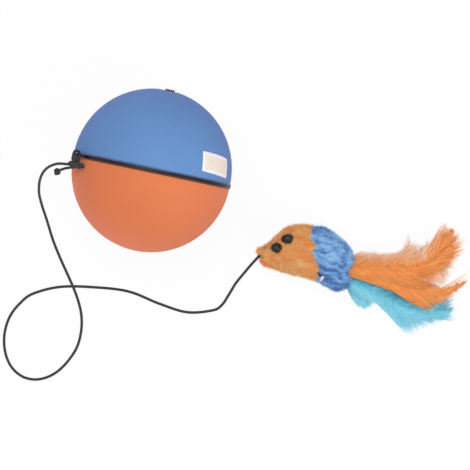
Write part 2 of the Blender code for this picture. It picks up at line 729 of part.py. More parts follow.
# Shafts
def drive_shaft(skin):
    """Output shaft with the six-sided key that turns in the orange half's socket."""
    end = -SOCKET_FACE
    shaft = rod((0, 0), SHAFT_RADIUS, end - OVERRUN, BULKHEAD_BACK - 2 * SEAT_GAP, CASE_SIDES)
    made = piece("drive_shaft", shaft, skin)
    join(made, rod((0, 0), KEY_RADIUS, end - SEAT_GAP - KEY_LENGTH, end - SEAT_GAP, KEY_SIDES))
    return made


def pin(name, radius, start, end, skin):
    """Plain round pin along Y."""
    return piece(name, rod((0, 0), radius, start, end, GEAR_SIDES), skin)


# Gears
def involute(angle):
    return math.tan(angle) - angle


def gear_outline(teeth, turn):
    """(x, z) outline of a spur gear, with a tooth middle at the turn angle from +X."""
    pitch = MODULE * teeth / 2
    base = pitch * math.cos(PRESSURE)
    root = pitch - MODULE - ROOT_CLEARANCE
    half = (math.pi * MODULE / 2 - BACKLASH) / 2 / pitch
    points = []
    for tooth in range(teeth):
        middle = turn + 2 * math.pi * tooth / teeth
        flank = []
        for radius in (pitch, pitch + MODULE) if teeth < WHEEL_TEETH else (pitch + MODULE,):
            spread = half + involute(PRESSURE) - involute(math.acos(base / radius))
            flank.append((radius, spread))
        foot = half * PINION_FOOT_SHARE
        if root > base:
            foot = min(half * pitch / root, half + involute(PRESSURE)) + half * WHEEL_FLARE_SHARE
        flank.insert(0, (root, foot))
        for radius, spread in flank:
            points.append((radius * math.cos(middle - spread), radius * math.sin(middle - spread)))
        for radius, spread in reversed(flank):
            points.append((radius * math.cos(middle + spread), radius * math.sin(middle + spread)))
    return points


def heading(start, end):
    """Angle of the line from one (x, z) place to another."""
    return math.atan2(end.y - start.y, end.x - start.x)


def mesh_turn(teeth, partner_turn, partner_teeth, direction):
    """Turn that puts a gap of this gear on a tooth line of its partner.

    The direction is the angle from the partner's centre to this gear's centre.
    """
    ahead = (direction - partner_turn) * partner_teeth / teeth
    return direction + math.pi + ahead + math.pi / teeth


def spur_gear(name, teeth, face, turn, bore, skin):
    """Plain spur gear from y = 0 down to its face width."""
    made = piece(name, prism_mesh(gear_outline(teeth, turn), -face, 0), skin)
    cut(made, rod((0, 0), bore, -face - OVERRUN, OVERRUN, GEAR_SIDES))
    return made


def compound_gear(name, wheel_turn, pinion_turn, skin):
    """Wheel with a pinion on its -Y side, on one bore."""
    made = piece(name, prism_mesh(gear_outline(WHEEL_TEETH, wheel_turn), -WHEEL_FACE, 0), skin)
    end = -LAYER_PITCH - WHEEL_FACE
    join(made, prism_mesh(gear_outline(PINION_TEETH, pinion_turn), end, -WHEEL_FACE / 2))
    web = WHEEL_TIP - MODULE * 4
    groove = WHEEL_FACE / 4
    hub = MODULE * PINION_TEETH / 2 + MODULE * 2
    relief = [(hub, -groove), (web, -groove), (web, OVERRUN), (hub, OVERRUN)]
    cut(made, turned_mesh(relief, CASE_SIDES, closed=True))
    cut(made, rod((0, 0), AXLE_RADIUS + SEAT_GAP, end - OVERRUN, OVERRUN, GEAR_SIDES))
    return made


# Drive unit
def gearcase_outline(margin):
    """Outline round the gears, with a margin outside their tips."""
    points = []
    for centre in (SHAFT_AXIS, SECOND_AXIS, FIRST_AXIS):
        points += circle(centre, WHEEL_TIP + margin, CASE_SIDES)
    points += circle(MOTOR_AXIS, MODULE * PINION_TEETH / 2 + MODULE + margin, CASE_SIDES)
    return hull(points)


def drive_chassis(skin):
    """One moulding: bulkhead and skirt for the gears, motor pod, battery trough."""
    outer = gearcase_outline(GEAR_ROOM + CASE_WALL)
    made = piece("drive_chassis", prism_mesh(outer, SKIRT_END, BULKHEAD_BACK), skin)
    for spot in cover_posts():
        join(made, rod(spot, POST_RADIUS, SKIRT_END, BULKHEAD_BACK, CASE_SIDES))
    low, high = pod_corners(SEAT_GAP + POD_WALL)
    join(made, box_mesh((low.x, BULKHEAD_FRONT + FACE_STEP, low.y), (high.x, POD_END, high.y)))
    for spot in rear_posts():
        join(made, rod(spot, POST_RADIUS, POD_END - REAR_POST_LENGTH, POD_END, CASE_SIDES))
    join(made, rod(CELL_AXIS, TROUGH_RADIUS, -TROUGH_END, TROUGH_END, CELL_SIDES))
    web = box_mesh((high.x - POD_WALL / 2, SKIRT_END, CELL_Z - CELL_RADIUS / 2),
                   (CELL_X, POD_END - FACE_STEP, CELL_Z + CELL_RADIUS / 2))
    join(made, web)
    cut(made, prism_mesh(gearcase_outline(GEAR_ROOM), SKIRT_END - OVERRUN, BULKHEAD_FRONT))
    low, high = pod_corners(SEAT_GAP)
    cut(made, box_mesh((low.x, BULKHEAD_BACK, low.y), (high.x, POD_END + OVERRUN, high.y)))
    cut(made, rod(CELL_AXIS, CELL_RADIUS + SEAT_GAP, -TROUGH_HALF, TROUGH_HALF, CELL_SIDES))
    turn = math.atan2(-CELL_AXIS.y, CELL_AXIS.x)
    beyond = TROUGH_RADIUS + OVERRUN
    mouth_box = box_mesh((CELL_AXIS.length + CELL_RADIUS * 0.25, -TROUGH_HALF, -beyond),
                         (CELL_AXIS.length + beyond, TROUGH_HALF, beyond))
    cut(made, turn_y(mouth_box, turn))
    bore = MOTOR_BOSS_RADIUS + SEAT_GAP
    cut(made, rod(MOTOR_AXIS, bore, BULKHEAD_FRONT - OVERRUN, BULKHEAD_BACK + OVERRUN, CASE_SIDES))
    pocket = BULKHEAD_BACK - SEAT_GAP
    cut(made, rod(SHAFT_AXIS, SHAFT_RADIUS + SEAT_GAP, BULKHEAD_FRONT - OVERRUN, pocket, GEAR_SIDES))
    for spot in (FIRST_AXIS, SECOND_AXIS):
        cut(made, rod(spot, AXLE_RADIUS + SEAT_GAP, BULKHEAD_FRONT - OVERRUN, pocket, GEAR_SIDES))
    for spot in cover_posts():
        cut(made, rod(spot, SCREW_RADIUS + SEAT_GAP, SKIRT_END - OVERRUN, SKIRT_END + SCREW_LENGTH,
                      SCREW_SIDES))
    for spot in rear_posts():
        cut(made, rod(spot, SCREW_RADIUS + SEAT_GAP, POD_END - SCREW_LENGTH, POD_END + OVERRUN, SCREW_SIDES))
    slot = (CELL_X - CONTACT_HALF_WIDTH / 2, CELL_Z + CELL_RADIUS * 0.3)
    for side in (-1, 1):
        near, far = sorted((side * (TROUGH_HALF - OVERRUN), side * (TROUGH_END + OVERRUN)))
        cut(made, rod(slot, SCREW_RADIUS, near, far, SCREW_SIDES))
    return made


def gearbox_cover(skin):
    """Flat cover of the gears, with bearing bosses and the shaft's long boss."""
    outer = gearcase_outline(GEAR_ROOM + CASE_WALL)
    middle = (COVER_FACE + COVER_BACK) / 2
    made = piece("gearbox_cover", prism_mesh(outer, COVER_FACE, COVER_BACK), skin)
    for spot in cover_posts():
        join(made, rod(spot, POST_RADIUS, COVER_FACE, COVER_BACK, CASE_SIDES))
    boss_end = -SOCKET_FACE + SEAT_GAP
    boss = SHAFT_RADIUS + SEAT_GAP + CASE_WALL
    join(made, rod(SHAFT_AXIS, boss, boss_end, middle, CASE_SIDES))
    for spot in (FIRST_AXIS, SECOND_AXIS):
        cup = AXLE_RADIUS + SEAT_GAP + CASE_WALL / 2
        join(made, rod(spot, cup, COVER_FACE - COVER_THICKNESS / 2, middle, CASE_SIDES))
        cut(made, rod(spot, AXLE_RADIUS + SEAT_GAP, COVER_FACE, COVER_BACK + OVERRUN, GEAR_SIDES))
    cut(made, rod(SHAFT_AXIS, SHAFT_RADIUS + SEAT_GAP, boss_end - OVERRUN, COVER_BACK + OVERRUN, GEAR_SIDES))
    room = TROUGH_RADIUS + SEAT_GAP
    cut(made, rod(CELL_AXIS, room, COVER_FACE - OVERRUN, COVER_BACK + OVERRUN, CELL_SIDES))
    for spot in cover_posts():
        cut(made, rod(spot, SCREW_RADIUS + SEAT_GAP, COVER_FACE - OVERRUN, COVER_BACK + OVERRUN, SCREW_SIDES))
    return made


def rear_plate(skin):
    """Plate on the pod's end that carries the hollow trunnion."""
    low, high = pod_corners(SEAT_GAP + POD_WALL)
    points = circle(SHAFT_AXIS, TRUNNION_SHOULDER + SEAT_GAP, CASE_SIDES)
    points += [(low.x, low.y), (low.x, high.y), (high.x, low.y), (high.x, high.y)]
    for spot in rear_posts():
        points += circle(spot, POST_RADIUS, CASE_SIDES)
    made = piece("rear_plate", prism_mesh(hull(points), REAR_FACE, REAR_BACK), skin)
    inside = TRUNNION_RADIUS - TRUNNION_WALL
    shoulder = COLLAR_END - SEAT_GAP
    floor = TRUNNION_TOP - TRUNNION_FLOOR
    middle = REAR_FACE + REAR_THICKNESS / 2
    profile = [
        (0, middle), (TRUNNION_SHOULDER, middle), (TRUNNION_SHOULDER, shoulder),
        (TRUNNION_RADIUS, shoulder), (TRUNNION_RADIUS, TRUNNION_TOP), (0, TRUNNION_TOP),
    ]
    join(made, turned_mesh(profile, CELL_SIDES))
    cut(made, rod(SHAFT_AXIS, inside, REAR_FACE - OVERRUN, floor, CELL_SIDES))
    reach = (STEM_LENGTH + KNOB_TRAVEL) / 2 + SEAT_GAP
    width = STEM_WIDTH / 2 + SEAT_GAP
    cut(made, box_mesh((-reach, floor - OVERRUN, -width), (reach, TRUNNION_TOP + OVERRUN, width)))
    room = TROUGH_RADIUS + SEAT_GAP
    cut(made, rod(CELL_AXIS, room, REAR_FACE - OVERRUN, REAR_BACK + OVERRUN, CELL_SIDES))
    for spot in rear_posts():
        cut(made, rod(spot, SCREW_RADIUS + SEAT_GAP, REAR_FACE - OVERRUN, REAR_BACK + OVERRUN, SCREW_SIDES))
    return made


def motor_outline(inset):
    """Round with two flats, in (x, z) about the motor's axis."""
    radius = MOTOR_RADIUS - inset
    flat = MOTOR_HALF_FLAT - inset
    corner = math.acos(flat / radius)
    steps = 8
    upper = [corner + (math.pi - 2 * corner) * step / steps for step in range(steps + 1)]
    points = [(radius * math.cos(a), radius * math.sin(a)) for a in upper]
    return points + [(-x, -z) for x, z in points]


def motor_can(skin):
    """Drawn steel can of the motor, open at the back, in the motor's own frame."""
    front = BULKHEAD_BACK + SEAT_GAP
    back = front + MOTOR_CAN_LENGTH
    made = piece("motor_can", prism_mesh(motor_outline(0), front, back), skin)
    join(made, rod((0, 0), MOTOR_BOSS_RADIUS, front - MOTOR_BOSS_LENGTH, front + CAN_WALL / 2, CASE_SIDES))
    cut(made, prism_mesh(motor_outline(CAN_WALL), front + CAN_WALL, back + OVERRUN))
    cut(made, rod((0, 0), MOTOR_SHAFT_RADIUS + SEAT_GAP, front - MOTOR_BOSS_LENGTH - OVERRUN,
                  front + CAN_WALL + OVERRUN, GEAR_SIDES))
    return made


def motor_magnet(name, side, skin):
    """Curved magnet against the can's round wall."""
    outer = (MOTOR_RADIUS - CAN_WALL) * math.cos(math.pi / (CASE_SIDES * 2)) - SEAT_GAP
    middle = side * math.pi / 2
    start = BULKHEAD_BACK + (MOTOR_CAN_LENGTH - MAGNET_LENGTH) / 2
    magnet = arc_mesh(outer - MAGNET_THICKNESS, outer, start, start + MAGNET_LENGTH,
                      middle - MAGNET_SWEEP / 2, middle + MAGNET_SWEEP / 2, 6)
    return piece(name, magnet, skin)


def motor_armature(skin):
    """Three-pole core on the motor's shaft."""
    rim = MOTOR_RADIUS - CAN_WALL - MAGNET_THICKNESS - SEAT_GAP * 4
    start = BULKHEAD_BACK + (MOTOR_CAN_LENGTH - ARMATURE_LENGTH) / 2
    end = start + ARMATURE_LENGTH
    made = piece("motor_armature", rod((0, 0), ARMATURE_HUB, start, end, GEAR_SIDES), skin)
    for index in range(ARMATURE_POLES):
        middle = index * 2 * math.pi / ARMATURE_POLES
        join(made, turn_y(box_mesh((0, start, -POLE_NECK), (rim - POLE_SHOE / 2, end, POLE_NECK)), middle))
        join(made, arc_mesh(rim - POLE_SHOE, rim, start, end,
                            middle - POLE_SWEEP / 2, middle + POLE_SWEEP / 2, 5))
    cut(made, rod((0, 0), MOTOR_SHAFT_RADIUS + SEAT_GAP, start - OVERRUN, end + OVERRUN, GEAR_SIDES))
    return made


def motor_commutator(skin):
    """Copper drum behind the armature."""
    end = BULKHEAD_BACK + MOTOR_CAN_LENGTH
    start = end - COMMUTATOR_LENGTH
    made = piece("motor_commutator", rod((0, 0), COMMUTATOR_RADIUS, start, end, GEAR_SIDES), skin)
    cut(made, rod((0, 0), MOTOR_SHAFT_RADIUS + SEAT_GAP, start - OVERRUN, end + OVERRUN, GEAR_SIDES))
    return made


def motor_end_bell(skin):
    """Plastic end of the motor, with the rear bearing and two terminal slots."""
    half = (BELL_FRONT + BELL_BACK) / 2
    made = piece("motor_end_bell", prism_mesh(motor_outline(SEAT_GAP), BELL_FRONT, BELL_BACK), skin)
    cut(made, rod((0, 0), MOTOR_SHAFT_RADIUS + SEAT_GAP, BELL_FRONT - OVERRUN, half + SEAT_GAP, GEAR_SIDES))
    across = TERMINAL_WIDTH / 2 + SEAT_GAP
    for side in (-1, 1):
        low = side * TERMINAL_SPREAD - TERMINAL_THICKNESS / 2 - SEAT_GAP
        high = side * TERMINAL_SPREAD + TERMINAL_THICKNESS / 2 + SEAT_GAP
        cut(made, box_mesh((-across, half, low), (across, BELL_BACK + OVERRUN, high)))
    return made


def motor_terminal(name, side, skin):
    """Brass tab in the end bell, with a wire hole."""
    front = (BELL_FRONT + BELL_BACK) / 2 + SEAT_GAP
    middle = side * TERMINAL_SPREAD
    low = (-TERMINAL_WIDTH / 2, front, middle - TERMINAL_THICKNESS / 2)
    high = (TERMINAL_WIDTH / 2, TERMINAL_END, middle + TERMINAL_THICKNESS / 2)
    made = piece(name, box_mesh(low, high), skin)
    hole = bmesh.new()
    bmesh.ops.create_cone(hole, cap_ends=True, segments=SCREW_SIDES, radius1=TERMINAL_WIDTH / 4,
                          radius2=TERMINAL_WIDTH / 4, depth=OVERRUN * 2)
    cut(made, shift(hole, y=TERMINAL_END - TERMINAL_WIDTH / 2, z=middle))
    return made


def battery_cell(skin):
    """Cylindrical cell with its nub towards -Y, in the trough's frame."""
    back = CELL_LENGTH / 2
    front = -back
    edge = CELL_NUB_LENGTH / 2
    profile = [
        (0, back), (CELL_RADIUS - edge, back), (CELL_RADIUS, back - edge), (CELL_RADIUS, front + edge),
        (CELL_RADIUS - edge, front), (CELL_NUB_RADIUS, front), (CELL_NUB_RADIUS, front - CELL_NUB_LENGTH),
        (0, front - CELL_NUB_LENGTH),
    ]
    return piece("battery_cell", turned_mesh(profile, CELL_SIDES), skin)


def contact_plate(skin):
    """Plate against the trough's front end, notched at two corners."""
    back = -TROUGH_HALF + SEAT_GAP
    low = (-CONTACT_HALF_WIDTH, back, -CONTACT_HALF_WIDTH)
    high = (CONTACT_HALF_WIDTH, back + CONTACT_THICKNESS, CONTACT_HALF_WIDTH)
    made = piece("contact_plate", box_mesh(low, high), skin)
    notch = CONTACT_HALF_WIDTH / 4
    for side in (-1, 1):
        near, far = sorted((side * (CONTACT_HALF_WIDTH - notch), side * (CONTACT_HALF_WIDTH + notch)))
        cut(made, box_mesh((near, back - OVERRUN, CONTACT_HALF_WIDTH / 2),
                           (far, back + OVERRUN, CONTACT_HALF_WIDTH + OVERRUN)))
    return made


def contact_spring(skin):
    """Conical spring at the cell's flat end, one unbroken wire."""
    base = CELL_LENGTH / 2 + SEAT_GAP + SPRING_WIRE
    rise = SPRING_SPACE - 2 * SEAT_GAP - 2 * SPRING_WIRE
    steps = int(SPRING_TURNS * SPRING_STEPS)
    points = []
    for step in range(steps + 1):
        share = step / steps
        radius = SPRING_SMALL + (SPRING_LARGE - SPRING_SMALL) * share
        angle = 2 * math.pi * SPRING_TURNS * share
        points.append(Vector((radius * math.cos(angle), base + rise * share, radius * math.sin(angle))))
    least = min((points[a] - points[b]).length
                for a in range(len(points)) for b in range(a + SPRING_STEPS // 2 + 1, len(points)))
    print("contact_spring: least gap to itself %.2f mm" % ((least - 2 * SPRING_WIRE) / MM))
    return tube("contact_spring", points, SPRING_WIRE, skin, resolution=1)


def switch_body(skin):
    """Slide switch under the trunnion's floor, with its lever slot."""
    top = TRUNNION_TOP - TRUNNION_FLOOR - SEAT_GAP
    made = piece("switch_body", box_mesh((-SWITCH_LENGTH / 2, top - SWITCH_HEIGHT, -SWITCH_WIDTH / 2),
                                         (SWITCH_LENGTH / 2, top, SWITCH_WIDTH / 2)), skin)
    reach = (STEM_LENGTH + KNOB_TRAVEL) / 2 + SEAT_GAP
    width = STEM_WIDTH / 2 + SEAT_GAP
    cut(made, box_mesh((-reach, top - SWITCH_HEIGHT / 3, -width), (reach, top + OVERRUN, width)))
    return made


def switch_knob(skin):
    """Ridged knob with a stem that reaches into the switch."""
    base = TRUNNION_TOP + SEAT_GAP
    top = base + KNOB_HEIGHT
    pitch = KNOB_LENGTH / (KNOB_RIDGES * 2 - 1)
    outline = [(-KNOB_LENGTH / 2, base)]
    for index in range(KNOB_RIDGES * 2 - 1):
        height = top if index % 2 == 0 else top - KNOB_RIDGE_DEPTH
        outline.append((-KNOB_LENGTH / 2 + pitch * index, height))
        outline.append((-KNOB_LENGTH / 2 + pitch * (index + 1), height))
    outline.append((KNOB_LENGTH / 2, base))
    made = piece("switch_knob", slab_mesh(outline, KNOB_WIDTH), skin)
    tip = TRUNNION_TOP - TRUNNION_FLOOR - SWITCH_HEIGHT / 4
    low = (-STEM_LENGTH / 2, tip, -STEM_WIDTH / 2)
    high = (STEM_LENGTH / 2, base + OVERRUN, STEM_WIDTH / 2)
    join(made, box_mesh(low, high))
    return made


# Cord pieces
def knot(name, half_size, skin):
    """Tied knot as a lump whose wraps show as slanted swellings."""
    bm = bmesh.new()
    bmesh.ops.create_uvsphere(bm, u_segments=14, v_segments=9, radius=1.0)
    for vert in bm.verts:
        across = math.atan2(vert.co.y, vert.co.z)
        swell = 1 + KNOT_GROOVE_SHARE * math.cos(KNOT_TURNS * vert.co.x + across)
        vert.co = Vector(a * b for a, b in zip(vert.co * swell, half_size))
    return piece(name, bm, skin, sharp=math.pi)


# Cord route from the knot to the mouse's mouth: places on the floor and
# heights, chosen along the photographed line
CORD_ROUTE = [Vector(point) * MM for point in (
    (-43.6, -5.9, 64.4), (-49.2, -6.9, 61.6), (-54.0, -10.3, 55.0), (-56.3, -15.8, 45.4),
    (-55.8, -23.1, 33.4), (-52.9, -29.9, 22.0), (-48.8, -37.3, 12.0), (-43.9, -46.4, 4.8),
    (-38.8, -54.2, 2.1), (-33.6, -61.4, 2.3), (-28.4, -68.6, 2.8), (-24.3, -75.2, 2.0),
    (-21.1, -82.3, 1.1), (-19.5, -90.3, 0.8), (-19.8, -98.7, 0.8), (-22.4, -106.2, 0.8),
    (-26.5, -113.0, 0.8), (-31.6, -117.8, 0.8), (-37.9, -120.6, 0.8), (-44.8, -120.5, 0.8),
    (-51.1, -117.2, 0.8), (-55.5, -111.7, 0.8), (-58.1, -104.9, 0.8), (-58.9, -97.6, 0.8),
    (-57.7, -90.0, 0.8), (-54.1, -82.8, 0.8), (-48.5, -76.5, 0.8), (-35.1, -70.0, 0.8),
    (-17.3, -66.5, 0.8), (0.8, -65.0, 0.8), (18.1, -68.0, 0.8), (33.2, -69.4, 0.8),
    (46.2, -65.7, 0.8), (50.5, -61.9, 0.9), (53.0, -55.8, 1.6), (55.3, -49.3, 3.2),
    (58.2, -43.6, 5.4), (61.2, -38.2, 7.6), (63.2, -34.8, 8.4),
)]


def eye_frame(radius, side, lift=0.0):
    """Place near the ring's eye, from a radius, a place along Y and a lift round the ring."""
    outward = Vector((-math.cos(EYE_ANGLE), 0, math.sin(EYE_ANGLE)))
    around = Vector((math.sin(EYE_ANGLE), 0, math.cos(EYE_ANGLE)))
    return Vector((0, side, BALL_HEIGHT)) + outward * radius + around * lift


def cord_loop(skin):
    """Loop of cord through the eye, both ends at the knot."""
    inner = RING_RADIUS + EYE_REACH
    outer = inner + EYE_HOLE_RADIUS + EYE_BAR + SEAT_GAP + CORD_RADIUS
    near = -KNOT_SIDE + KNOT_HALF_SIZE.y + SEAT_GAP
    far = EYE_THICKNESS / 2 + SEAT_GAP + CORD_RADIUS
    route = [eye_frame(inner + (outer - inner) * out, near + (far - near) * along)
             for out, along in LOOP_SHARES]
    points, _ = smooth_route(route, LOOP_STEPS)
    return tube("cord_loop", points, CORD_RADIUS, skin)


def main_cord(skin):
    """Cord from the knot over the floor to the mouse."""
    points, length = smooth_route(CORD_ROUTE, CORD_STEPS)
    print("cord: length %.0f mm" % (length / MM))
    return tube("cord", points, CORD_RADIUS, skin)


TAIL_ROUTE = [Vector(point) * MM for point in (
    (-42.3, -7.5, 62.9), (-44.2, -8.2, 62.2), (-45.8, -9.1, 60.9), (-47.0, -9.8, 59.6),
)]
TAIL_KNOT_PLACE = Vector((-48.1, -10.9, 57.9)) * MM


# Mouse
def mouse_section(start, length, shares, creased):
    """Ring of points of the mouse at a section, flat where it lies on the floor."""
    along, middle, half_width, rise, half_height, lean = shares
    points = []
    for step in range(MOUSE_SIDES):
        angle = 2 * math.pi * (step + 0.5) / MOUSE_SIDES
        bulge = 1.0
        if creased:
            dip = math.exp(-((math.cos(angle) + CREASE_PLACE_SHARE) / CREASE_WIDTH_SHARE) ** 2)
            bulge -= CREASE_DEPTH_SHARE * dip * max(0.0, math.sin(angle)) * min(1.0, along / CREASE_RUN_SHARE)
        across = MOUSE_WIDTH * half_width * math.cos(angle) * bulge
        x = MOUSE_NOSE_X + start + length * along + lean * across
        y = MOUSE_NOSE_Y + MOUSE_WIDTH * middle + across
        z = MOUSE_HEIGHT * (NOSE_HEIGHT_SHARE + rise + half_height * math.sin(angle) * bulge)
        points.append((x, y, max(z, 0.0)))
    return points


def mouse_part(name, start, length, table, skin, creased=False):
    """Stuffed part of the mouse through its sections, lying on the floor."""
    bm = loft_mesh([mouse_section(start, length, shares, creased) for shares in table])
    bmesh.ops.remove_doubles(bm, verts=bm.verts, dist=TINY)
    return piece(name, bm, skin, sharp=60 * DEG)


def eyeball_place(along, across):
    """Centre of an eye that sits in the head's upper side."""
    for near, far in zip(HEAD_SHARES, HEAD_SHARES[1:]):
        if near[0] <= along <= far[0]:
            part = (along - near[0]) / (far[0] - near[0])
            blend = [a + (b - a) * part for a, b in zip(near, far)]
            middle, half_width, rise, half_height = blend[1:5]
    slope = (across - middle) / half_width
    top = Vector((MOUSE_NOSE_X + HEAD_LENGTH * along, MOUSE_NOSE_Y + MOUSE_WIDTH * across,
                  MOUSE_HEIGHT * (NOSE_HEIGHT_SHARE + rise + half_height * math.sqrt(1 - slope ** 2))))
    outward = Vector((EYEBALL_LEAN_SHARE, slope, 1.0)).normalized()
    return top - outward * EYEBALL_SINK


def ball_mesh(radius, centre):
    """Round mesh for an eye or its socket."""
    bm = bmesh.new()
    bmesh.ops.create_uvsphere(bm, u_segments=EYEBALL_RINGS * 2, v_segments=EYEBALL_RINGS, radius=radius)
    return shift(bm, *centre)


# Feathers
def feather(name, spine_shares, width_shares, skin):
    """Thin vane with a raised quill along its middle, from the mouse's end to the floor."""
    start = Vector((MOUSE_NOSE_X + HEAD_LENGTH + BODY_LENGTH + 3 * SEAT_GAP, MOUSE_NOSE_Y,
                    FEATHER_THICKNESS / 2 + SEAT_GAP))
    spine = [start + Vector((FEATHER_LENGTH * along, FEATHER_LENGTH * across, FEATHER_HEIGHT * up))
             for along, across, up in spine_shares]
    route, _ = smooth_route(spine, FEATHER_STEPS)
    table = [Vector((index, FEATHER_HALF_WIDTH * share, 0.0)) for index, share in enumerate(width_shares)]
    wide, _ = smooth_route(table, WIDTH_STEPS)
    sections = []
    for step, point in enumerate(route):
        before = route[max(step - 1, 0)]
        after = route[min(step + 1, len(route) - 1)]
        side = (after - before).cross(Vector((0, 0, 1))).normalized()
        wanted = step / (FEATHER_STEPS - 1) * (len(spine) - 1)
        half = min(wide, key=lambda spot: abs(spot.x - wanted)).y
        thick = Vector((0, 0, FEATHER_THICKNESS / 2))
        sections.append([point + side * half - thick / 2, point + thick,
                         point - side * half - thick / 2, point - thick])
    return piece(name, loft_mesh(sections), skin)


def build():
    """Make every piece and hang it on its axis."""
    blue = finish("blue_plastic", (0.13, 0.30, 0.58), 0.55)
    orange = finish("orange_plastic", (0.72, 0.18, 0.06), 0.55)
    black = finish("black_plastic", (0.02, 0.02, 0.025), 0.5)
    grey = finish("grey_plastic", (0.35, 0.36, 0.38), 0.6)
    white = finish("white_plastic", (0.80, 0.80, 0.76), 0.45)
    steel = finish("steel", (0.60, 0.60, 0.62), 0.3, 1.0)
    iron = finish("iron", (0.16, 0.16, 0.17), 0.6, 0.4)
    brass = finish("brass", (0.75, 0.55, 0.25), 0.35, 1.0)
    jacket = finish("cell_jacket", (0.10, 0.10, 0.11), 0.35)
    twine = finish("black_cord", (0.015, 0.015, 0.015), 0.85)
    orange_plush = finish("orange_plush", (0.80, 0.33, 0.12), 0.95)
    blue_plush = finish("blue_plush", (0.12, 0.30, 0.62), 0.95)
    bead = finish("eye_bead", (0.01, 0.015, 0.012), 0.15)
    orange_down = finish("orange_feather", (0.80, 0.25, 0.05), 0.9)
    blue_down = finish("turquoise_feather", (0.15, 0.56, 0.74), 0.9)

    ball = axis("ball_axis", None, z=BALL_HEIGHT)
    blue_half = axis("blue_half_axis", ball)
    drive = axis("drive_axis", ball)
    motor = axis("motor_axis", drive, x=MOTOR_X, z=MOTOR_Z)
    first = axis("first_gear_axis", drive, x=FIRST_AXIS.x, z=FIRST_AXIS.y)
    second = axis("second_gear_axis", drive, x=SECOND_AXIS.x, z=SECOND_AXIS.y)
    cell = axis("cell_axis", drive, x=CELL_X, z=CELL_Z)

    place(orange_shell(orange), ball)
    place(middle_ring(black), ball)
    place(blue_shell(blue), blue_half)
    for index in range(RING_SCREWS):
        angle = (index + 0.5) * 2 * math.pi / RING_SCREWS
        seat = -RING_WIDTH / 2 - RIB_HEIGHT + TAB_THICKNESS + SEAT_GAP
        place(screw("ring_screw_%d" % (index + 1), steel), ball,
              TAB_RADIUS * math.cos(angle), seat, -TAB_RADIUS * math.sin(angle))

    place(drive_shaft(steel), ball)

    to_first = heading(MOTOR_AXIS, FIRST_AXIS)
    to_second = heading(FIRST_AXIS, SECOND_AXIS)
    to_shaft = heading(SECOND_AXIS, SHAFT_AXIS)
    first_wheel = mesh_turn(WHEEL_TEETH, 0.0, PINION_TEETH, to_first)
    second_wheel = mesh_turn(WHEEL_TEETH, 0.0, PINION_TEETH, to_second)
    output_wheel = mesh_turn(WHEEL_TEETH, 0.0, PINION_TEETH, to_shaft)
    output = spur_gear("output_gear", WHEEL_TEETH, WHEEL_FACE, output_wheel, SHAFT_RADIUS + SEAT_GAP, white)
    place(output, ball, y=LAYER_C)
    place(compound_gear("compound_gear_first", first_wheel, 0.0, white), first, y=LAYER_A)
    place(compound_gear("compound_gear_second", second_wheel, 0.0, white), second, y=LAYER_B)
    pinion = spur_gear("motor_pinion", PINION_TEETH, WHEEL_FACE, 0.0, MOTOR_SHAFT_RADIUS + SEAT_GAP, brass)
    place(pinion, motor, y=LAYER_A)
    shaft_back = BULKHEAD_BACK + MOTOR_CAN_LENGTH + MOTOR_BELL_LENGTH / 2
    place(pin("motor_shaft", MOTOR_SHAFT_RADIUS, LAYER_A - WHEEL_FACE - SEAT_GAP, shaft_back, steel), motor)
    for name, carrier in (("gear_axle_first", first), ("gear_axle_second", second)):
        axle = pin(name, AXLE_RADIUS, COVER_FACE + SEAT_GAP, BULKHEAD_BACK - 2 * SEAT_GAP, steel)
        place(axle, drive, carrier.location.x, 0.0, carrier.location.z)
    place(drive_chassis(grey), drive)
    place(gearbox_cover(grey), drive)
    place(rear_plate(grey), drive)
    place(motor_can(steel), drive, MOTOR_X, 0.0, MOTOR_Z)
    place(motor_end_bell(black), drive, MOTOR_X, 0.0, MOTOR_Z)
    place(motor_armature(iron), motor)
    place(motor_commutator(brass), motor)
    for name, side in (("motor_magnet_upper", -1), ("motor_magnet_lower", 1)):
        place(motor_magnet(name, side, iron), drive, MOTOR_X, 0.0, MOTOR_Z)
    for index, side in enumerate((-1, 1)):
        place(motor_terminal("motor_terminal_%d" % (index + 1), side, brass), drive, MOTOR_X, 0.0, MOTOR_Z)
    for index, spot in enumerate(cover_posts()):
        made = screw("cover_screw_%d" % (index + 1), steel)
        made.rotation_euler = (math.pi, 0, 0)
        place(made, drive, spot.x, COVER_FACE - SEAT_GAP, spot.y)
    for index, spot in enumerate(rear_posts()):
        place(screw("rear_screw_%d" % (index + 1), steel), drive, spot.x, REAR_BACK + SEAT_GAP, spot.y)
    place(battery_cell(jacket), cell)
    place(contact_plate(brass), cell)
    place(contact_spring(steel), cell)
    place(switch_body(black), drive)
    place(switch_knob(black), drive, x=KNOB_REST)

    main_cord(twine)
    cord_loop(twine)
    place(knot("cord_knot", KNOT_HALF_SIZE, twine), None, *eye_frame(RING_RADIUS + KNOT_LIFT, -KNOT_SIDE))
    points, _ = smooth_route(TAIL_ROUTE, TAIL_STEPS)
    tube("cord_tail", points, CORD_RADIUS, twine)
    place(knot("tail_knot", TAIL_KNOT_HALF_SIZE, twine), None, *TAIL_KNOT_PLACE)

    head = mouse_part("mouse_head", 0.0, HEAD_LENGTH, HEAD_SHARES, orange_plush)
    mouse_part("mouse_body", HEAD_LENGTH + SEAT_GAP, BODY_LENGTH, BODY_SHARES, blue_plush, creased=True)
    for name, (along, across) in EYEBALL_SHARES.items():
        spot = eyeball_place(along, across)
        cut(head, ball_mesh(EYEBALL_RADIUS + SEAT_GAP, spot))
        piece(name, ball_mesh(EYEBALL_RADIUS, spot), bead)
    for name, (spine, widths) in FEATHER_SHARES.items():
        feather(name, spine, widths, orange_down if "orange" in name else blue_down)


build()
